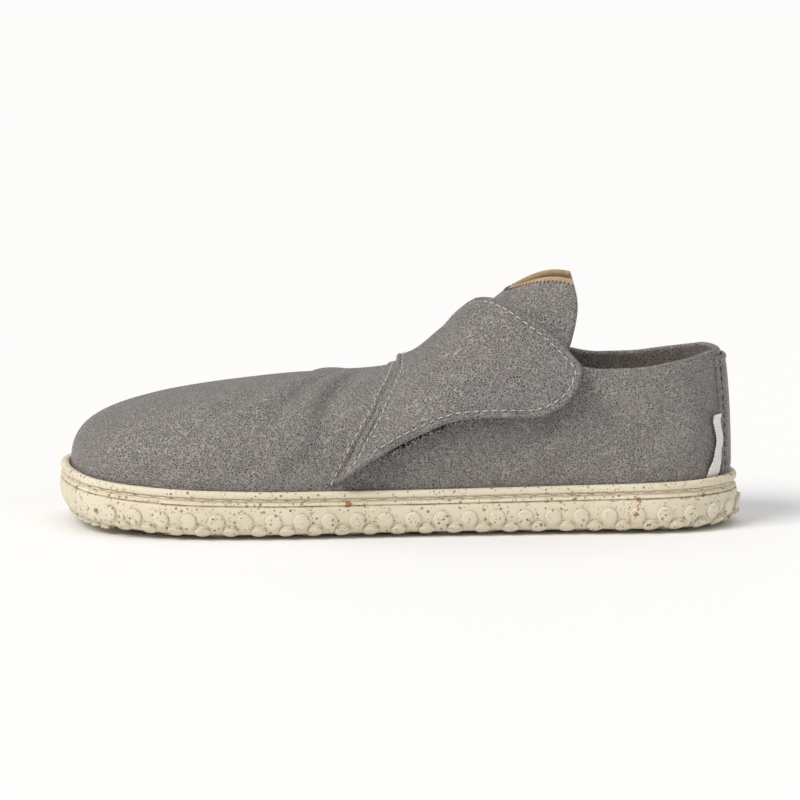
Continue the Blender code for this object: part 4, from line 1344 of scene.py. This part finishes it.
def strap_rows():
    """Stitch lines just inside the strap's front, lower and rear edges and at its base."""
    run, width = grid(np.linspace(0.0, 1.0, 120), np.linspace(0.0, 1.0, 80))
    turns, across = strap_place(run, width)
    points = skin(turns, across, strap_lift(run, width) + STRAP_THICKNESS)
    normals = last_normal(turns, across)
    paths = []
    for inwards in (1, -1):
        rows, ways = points[:, ::inwards], normals[:, ::inwards]
        gaps = np.maximum.accumulate(line_distance(rows, rows[:, 0]), axis=1)
        wide = gaps[:, -1] > 2.6 * EDGE_TO_STITCH
        paths.append([np.array([point_at(EDGE_TO_STITCH, gap, row)
                                for gap, row in zip(gaps[wide], lines[wide])])
                      for lines in (rows, ways)])
    from_base = run_lengths(points[::-1], 0)[:, points.shape[1] // 2]
    base = len(points) - 1 - int(np.argmin(np.abs(from_base - EDGE_TO_STITCH)))
    lengths = run_lengths(points, 1)[base]
    inside = (lengths > EDGE_TO_STITCH) & (lengths < lengths[-1] - EDGE_TO_STITCH)
    paths.append((points[base][inside], normals[base][inside]))
    return paths


def strap_widths(run):
    """Width of the strap, from its front to its lower or rear edge, at places along its run."""
    turns, across = strap_place(*grid(run, np.linspace(0.0, 1.0, 12)))
    return run_lengths(last_point(turns, across), 1)[:, -1]


def build_patch(name, node, patch, peek, lift, thickness, finishes, tree, slot):
    """One half of the closure: a thin mat with fibres standing out of it; a few light ones are
    painted glints.

    peek is how far its edge shows past the strap's lower edge, except at the strap's rear end.
    """
    run, share = sheet_grid(PATCH_SHEET)
    run = patch.run_start + (patch.run_end - patch.run_start) * run
    steps = run[:, 0]
    shown = peek - (peek + HIDDEN) * ease(PEEK_FULL, PEEK_END, steps)
    outer = 1.0 + shown / strap_widths(steps * ridge_run())
    width = patch.width_start + (outer[:, None] - patch.width_start) * share
    turns, across = strap_place(run * ridge_run(), width)
    mat = add_sheet(name, turns, across, np.full(run.shape, lift), thickness, finishes[:1] * 2)
    for finish, fibre in zip(finishes, FIBRES):
        grown = grow(name + "_" + fibre.label, mat.data.copy(), tree, {
            "Material": finish, "Density": fibre.density, "Width": fibre.width,
            "Seed": fibre.seed})
        settle(grown, slot)
    return settle(mat, slot, node)


def build_tongue(leather, lining, tree, thread):
    """Curved sheet under the throat, grey outside, the woven lining showing along its end."""
    run, side = sheet_grid(TONGUE_SHEET)
    side = 2.0 * side - 1.0
    middle, edge, reach = [curve(run) for curve in table_curves(TONGUE)]
    across = reach * side
    turns = turn_at(middle + (edge - middle) * side * side, across)
    lifts = np.full(run.shape, -(UPPER_WALL + TONGUE_GAP + TONGUE_THICKNESS))
    places = skin(turns, across, lifts + TONGUE_THICKNESS)
    down = run_lengths(places, 0)
    to_end = down[-1:] - down
    shown = ease(LINING_SHOWN - STEP_SOFTNESS, LINING_SHOWN + STEP_SOFTNESS, to_end)
    step = -LINING_STEP * (1.0 - shown)
    sheet = add_sheet("tongue_leaf", turns, across, lifts, TONGUE_THICKNESS, [leather, lining],
                      step, to_end < LINING_SHOWN)
    settle(sheet, "tongue_leather", "tongue")
    path = [np.array([point_at(LINING_SHOWN, to_end[::-1, line], points[::-1, line])
                      for line in range(6, run.shape[1] - 6)])
            for points in (places, last_normal(turns, across))]
    return sew("tongue_notches", tree, [path], thread, thread, "tongue_leather", **NOTCH_STITCH)


def heel_places(distances, shares):
    """Places up the back of the heel, by distance round it and share of the way up."""
    dense = np.linspace(math.pi - 0.8, math.pi, 200)
    run = outline_run(dense, RIM_WALL + FIT_GAP)
    turns = np.interp(run[-1] - np.abs(distances), run, dense)
    sides = np.where(distances < 0.0, -1.0, 1.0)
    return turns, sides * (1.0 - (1.0 - OPEN_EDGE(share_of(turns))) * shares)


def strip_lift(way, over):
    """Underside of the heel strip: drawn down at the rim and along its two sewn edges."""
    half = HEEL_STRIP_WIDTH / 2.0
    free = ease(HEEL_FOOT, HEEL_RISE, way) * ease(0.0, SEWN_DOWN, half - np.abs(over))
    return LAID_GAP - STRIP_SINK * (1.0 - free)


def build_heel_strip(leather, tree, thread, hole):
    """Narrow strip over the back seam, sewn down along both its long edges."""
    half = HEEL_STRIP_WIDTH / 2.0
    way, over = sheet_grid(STRIP_SHEET)
    way = HEEL_FOOT + (HEEL_TOP - HEEL_FOOT) * way
    over = half * (2.0 * over - 1.0)
    turns, across = heel_places(over, way)
    lifts = strip_lift(way, over)
    inset = edge_distance(skin(turns, across, lifts))
    strip = add_sheet("heel_strip_leather", turns, across, lifts, STRIP_THICKNESS,
                      [leather, leather], strap_edge(inset))
    settle(strip, "heel_strip_leather", "heel_strip")
    paths = []
    for side in (-1.0, 1.0):
        shares = np.linspace(HEEL_FOOT + 0.04, HEEL_TOP - 0.04, 60)
        over = np.full(60, side * (half - EDGE_TO_STITCH))
        turns, across = heel_places(over, shares)
        lifts = strip_lift(shares, over) + STRIP_THICKNESS
        paths.append((skin(turns, across, lifts), last_normal(turns, across)))
    return sew("heel_stitches", tree, paths, thread, hole, "heel_strip_leather")


def build_heel_ribbon(ribbon):
    """Bare folded ribbon beside the heel strip: it waves, and is widest at the rim."""
    start = HEEL_STRIP_WIDTH / 2.0 + LAID_GAP
    collar = last_point(math.pi, -float(OPEN_EDGE(1.0)))
    top = LABEL_HEIGHT / float(collar[2] - rim_height(math.pi))
    way, over = sheet_grid(RIBBON_SHEET)
    narrow = 1.0 - RIBBON_WAIST * ease(0.10, 0.42, way) + RIBBON_FLARE * ease(0.6, 1.0, way)
    sway = RIBBON_SWAY * np.sin(2.0 * math.pi * (way * 0.95 + 0.15))
    distance = -(start + LABEL_WIDTH * (0.5 + (over - 0.5) * narrow) + sway)
    turns, across = heel_places(distance, HEEL_FOOT + (top - HEEL_FOOT) * way)
    curl = RIBBON_CURL * ease(0.08, 1.0, way) * (0.5 - 0.5 * np.cos(2.0 * math.pi * way * 1.35))
    twist = RIBBON_TWIST * (over - 0.5) * np.sin(2.0 * math.pi * way * 1.1)
    sunk = STRIP_SINK * (1.0 - ease(0.0, 0.12, way))
    lifts = LAID_GAP + curl + np.abs(twist) * ease(0.08, 0.3, way) - sunk
    made = add_sheet("heel_ribbon", turns, across, lifts, LABEL_THICKNESS, [ribbon, ribbon])
    return settle(made, "label_ribbon", "heel_label")


def build_insole(textile):
    """Footbed in the cup: woven top over foam."""
    angles = ring_angles()
    out = -(RIM_WALL + UPPER_WALL + 2.0 * FIT_GAP)
    bevel = FOOTBED_BEVEL
    rings = list(reversed(floor_rings(angles, -out + bevel, lambda x: cup_floor(x) + FIT_GAP)))
    for bend in np.linspace(-math.pi / 2.0, math.pi / 2.0, 7):
        x, y = outline_point(angles, out - bevel * (1.0 - math.cos(bend)))
        z = cup_floor(x) + FIT_GAP + (INSOLE_THICKNESS - FIT_GAP) * (0.5 + 0.5 * math.sin(bend))
        rings.append(np.stack([x, y, z], -1))
    rings += floor_rings(angles, -out + bevel, lambda x: cup_floor(x) + INSOLE_THICKNESS, 12)
    made = add_piece("footbed", [(np.array(rings), 0, None)], [textile])
    return settle(made, "insole_textile", "insole")


def build_quarter_edge(leather, tree, thread, hole):
    """Front edge of the quarters lapped over the vamp, with its row of light stitches."""
    across, offset = grid(np.linspace(-0.965, 0.965, 170), np.array(LAP_STEPS) * MM)
    turns = turn_at(SEAM_ALONG(across) + offset / LENGTH, across)
    round_edge = np.sqrt(1.0 - (1.0 - np.clip(offset / LAP_ROUND, 0.0, 1.0)) ** 2)
    fade = 1.0 - ease(LAP_FADE, offset[0, -1], offset)
    outer = skin(turns, across, LAP_HEIGHT * round_edge * fade - LAP_SINK)
    inner = skin(turns, across, np.full(turns.shape, -LAP_UNDER))
    blocks = [(outer, 0, None), (inner, 0, None)]
    for end in (0, -1):
        blocks.append((np.stack([outer[:, end], inner[:, end]], axis=1), 0, None))
    for end in (0, -1):
        blocks.append((np.stack([outer[end], inner[end]]), 0, None))
    settle(add_piece("quarter_front_edge", blocks, [leather]), "upper_leather")
    across = np.linspace(-0.955, 0.955, 260)
    turns = turn_at(SEAM_ALONG(across) + LAP_TO_STITCH / LENGTH, across)
    path = (skin(turns, across, np.full(across.shape, LAP_PROUD)), last_normal(turns, across))
    return sew("quarter_stitches", tree, [path], thread, hole, "upper_leather")


def build_collar_stitches(tree, thread, hole):
    """One row of stitches below the rolled collar, from throat to throat round the heel."""
    outer, acrosses, turns = upper_rows(ring_angles(), 0.0)
    keep = share_of(turns) > COLLAR_SEWN
    down = run_lengths(outer[::-1], 0)[:WALL_ROWS, keep]
    places = acrosses[::-1][:WALL_ROWS, keep]
    across = np.array([np.interp(COLLAR_TO_STITCH, *pair) for pair in zip(down.T, places.T)])
    path = (skin(turns[keep], across, np.full(across.shape, COLLAR_PROUD)),
            last_normal(turns[keep], across))
    return sew("collar_stitches", tree, [path], thread, hole, "upper_leather")


def build_shoe():
    """Every piece of the shoe in its finish."""
    grey = leather_finish("grey nappa microfibre", ("686360", "746F6B"), "A09A95", "38332F")
    strap_grey = leather_finish("lighter strap microfibre", ("645F5C", "706B69"), "A19B96",
                                "332F2C")
    inside_grey = leather_finish("collar facing microfibre", ("67615E", "716B68"), "8E8884",
                                 "3B3633", 0.62)
    rubber = rubber_finish()
    # The real lining has about 25 threads to the centimetre; it is drawn at 13 so that it shows.
    tan = woven_finish("tan woven lining", "D8BF9C", "A08259", 0.00076)
    footbed = woven_finish("tan footbed textile", "C9B091", "A08666", 0.00095)
    ribbon = ribbon_finish()
    loops = pile_finish("black loop pile")
    hooks = pile_finish("black hook tape")
    # Painted highlights: near-white fibres that stand for glints on the black closure.
    glints = thread_finish("painted glint fibres", "F4F5F8", "A9ABB0")
    light_thread = thread_finish("light grey polyester thread", "D6D1CB", "A9A49F")
    grey_thread = thread_finish("grey polyester thread", "9D9792", "827C78")
    dark_thread = thread_finish("dark overlock thread", "6A5440", "4C3D31")
    seam_thread = thread_finish("dark grey seam thread", "514C49", "3B3734")
    cream_thread = thread_finish("cream bonded thread", "EDE2C8", "CFC1A0")
    # Painted shade: dark beads at the needle holes in microfibre and in rubber.
    hole = hole_shade_finish("painted needle-hole shade in microfibre", "1F1C1B", "3A3634")
    rubber_hole = hole_shade_finish("painted needle-hole shade in rubber", "6A583E", "8C7857")
    stitches = stitch_tree()
    lugs = lug_tree()
    fibres = fibre_tree()
    build_outsole(rubber)
    build_side_lugs(lugs, rubber)
    build_tread_lugs(lugs, rubber)
    build_sole_stitches(stitches, cream_thread, rubber_hole)
    build_insole(footbed)
    build_upper(grey, tan, inside_grey)
    build_quarter_edge(grey, stitches, light_thread, hole)
    build_collar_stitches(stitches, grey_thread, hole)
    build_tongue(grey, tan, stitches, dark_thread)
    build_strap(strap_grey, inside_grey)
    sew("strap_stitches", stitches, strap_rows(), light_thread, hole, "strap_leather")
    build_patch("loop_mat", "closure_loop_patch", LOOP_PATCH, LOOP_PEEK, LAID_GAP,
                LOOP_THICKNESS, (loops, glints), fibres, "closure_pile")
    build_patch("hook_mat", "closure_hook_patch", HOOK_PATCH, HOOK_PEEK,
                2.0 * DRAPE_GAP + LOOP_THICKNESS, HOOK_THICKNESS, (hooks, glints), fibres,
                "closure_hooks")
    build_heel_strip(strap_grey, stitches, seam_thread, hole)
    build_heel_ribbon(ribbon)


FLOOR_REACH = 12.0
FLOOR_TONE = (0.95, 0.95, 0.955, 1.0)
BACKDROP_STRENGTH = 0.36
ELEVATION = math.radians(7.0)
AIM_HEIGHT = 0.036
CAMERA_DISTANCE = 1.5
PIXELS_PER_METRE = 3400.0
FRAME_PIXELS = 800.0
SENSOR = 36.0

# Far, broad lights. direction: towards the light. softness: its width in degrees.
Light = namedtuple("Light", "name direction power softness tone")
LIGHTS = [Light(*row) for row in (
    ("key light", (-0.62, -0.50, 0.72), 2.2, 34.0, "FFFDF9"),
    ("fill light", (0.70, -0.60, 0.35), 0.35, 60.0, "FFFFFF"),
    ("top light", (0.10, 0.30, 0.95), 0.75, 70.0, "FFFFFF"),
)]


def build_floor():
    """Plain white floor that runs out of sight."""
    mesh = bpy.data.meshes.new("floor")
    corners = [(x * FLOOR_REACH, y * FLOOR_REACH, 0.0)
               for x, y in ((-1, -1), (1, -1), (1, 1), (-1, 1))]
    mesh.from_pydata(corners, [], [(0, 1, 2, 3)])
    material, _ = new_finish("white studio floor", 0.6, Specular_IOR_Level=0.2,
                             Base_Color=FLOOR_TONE)
    mesh.materials.append(material)
    add_object("studio_floor", mesh)


def add_sky_light(light):
    """A far, broad light from a direction, the same all over the floor."""
    data = bpy.data.lights.new(light.name, "SUN")
    data.energy = light.power
    data.angle = math.radians(light.softness)
    data.color = linear(light.tone)[:3]
    lamp = add_object(light.name, data)
    lamp.location = light.direction
    lamp.rotation_euler = Vector(light.direction).to_track_quat("Z", "Y").to_euler()


def build_studio():
    """White surroundings and soft lights: the key from the upper left, a weak fill, a top light."""
    world = bpy.data.worlds.new("white studio")
    world.use_nodes = True
    backdrop = world.node_tree.nodes["Background"]
    backdrop.inputs["Color"].default_value = (1.0, 1.0, 1.0, 1.0)
    backdrop.inputs["Strength"].default_value = BACKDROP_STRENGTH
    scene = bpy.context.scene
    scene.world = world
    scene.view_settings.view_transform = "Standard"
    for light in LIGHTS:
        add_sky_light(light)


def build_camera():
    """Long lens level with the outer side, a little above the floor, as in the photograph."""
    data = bpy.data.cameras.new("camera")
    data.sensor_width = SENSOR
    data.lens = SENSOR * CAMERA_DISTANCE * PIXELS_PER_METRE / FRAME_PIXELS
    data.clip_end = 50.0
    camera = add_object("camera", data)
    back = Vector((0.0, -math.cos(ELEVATION), math.sin(ELEVATION)))
    camera.location = Vector((0.0, 0.0, AIM_HEIGHT)) + back * CAMERA_DISTANCE
    camera.rotation_euler = (-back).to_track_quat("-Z", "Y").to_euler()
    bpy.context.scene.camera = camera


build_shoe()
build_floor()
build_studio()
build_camera()
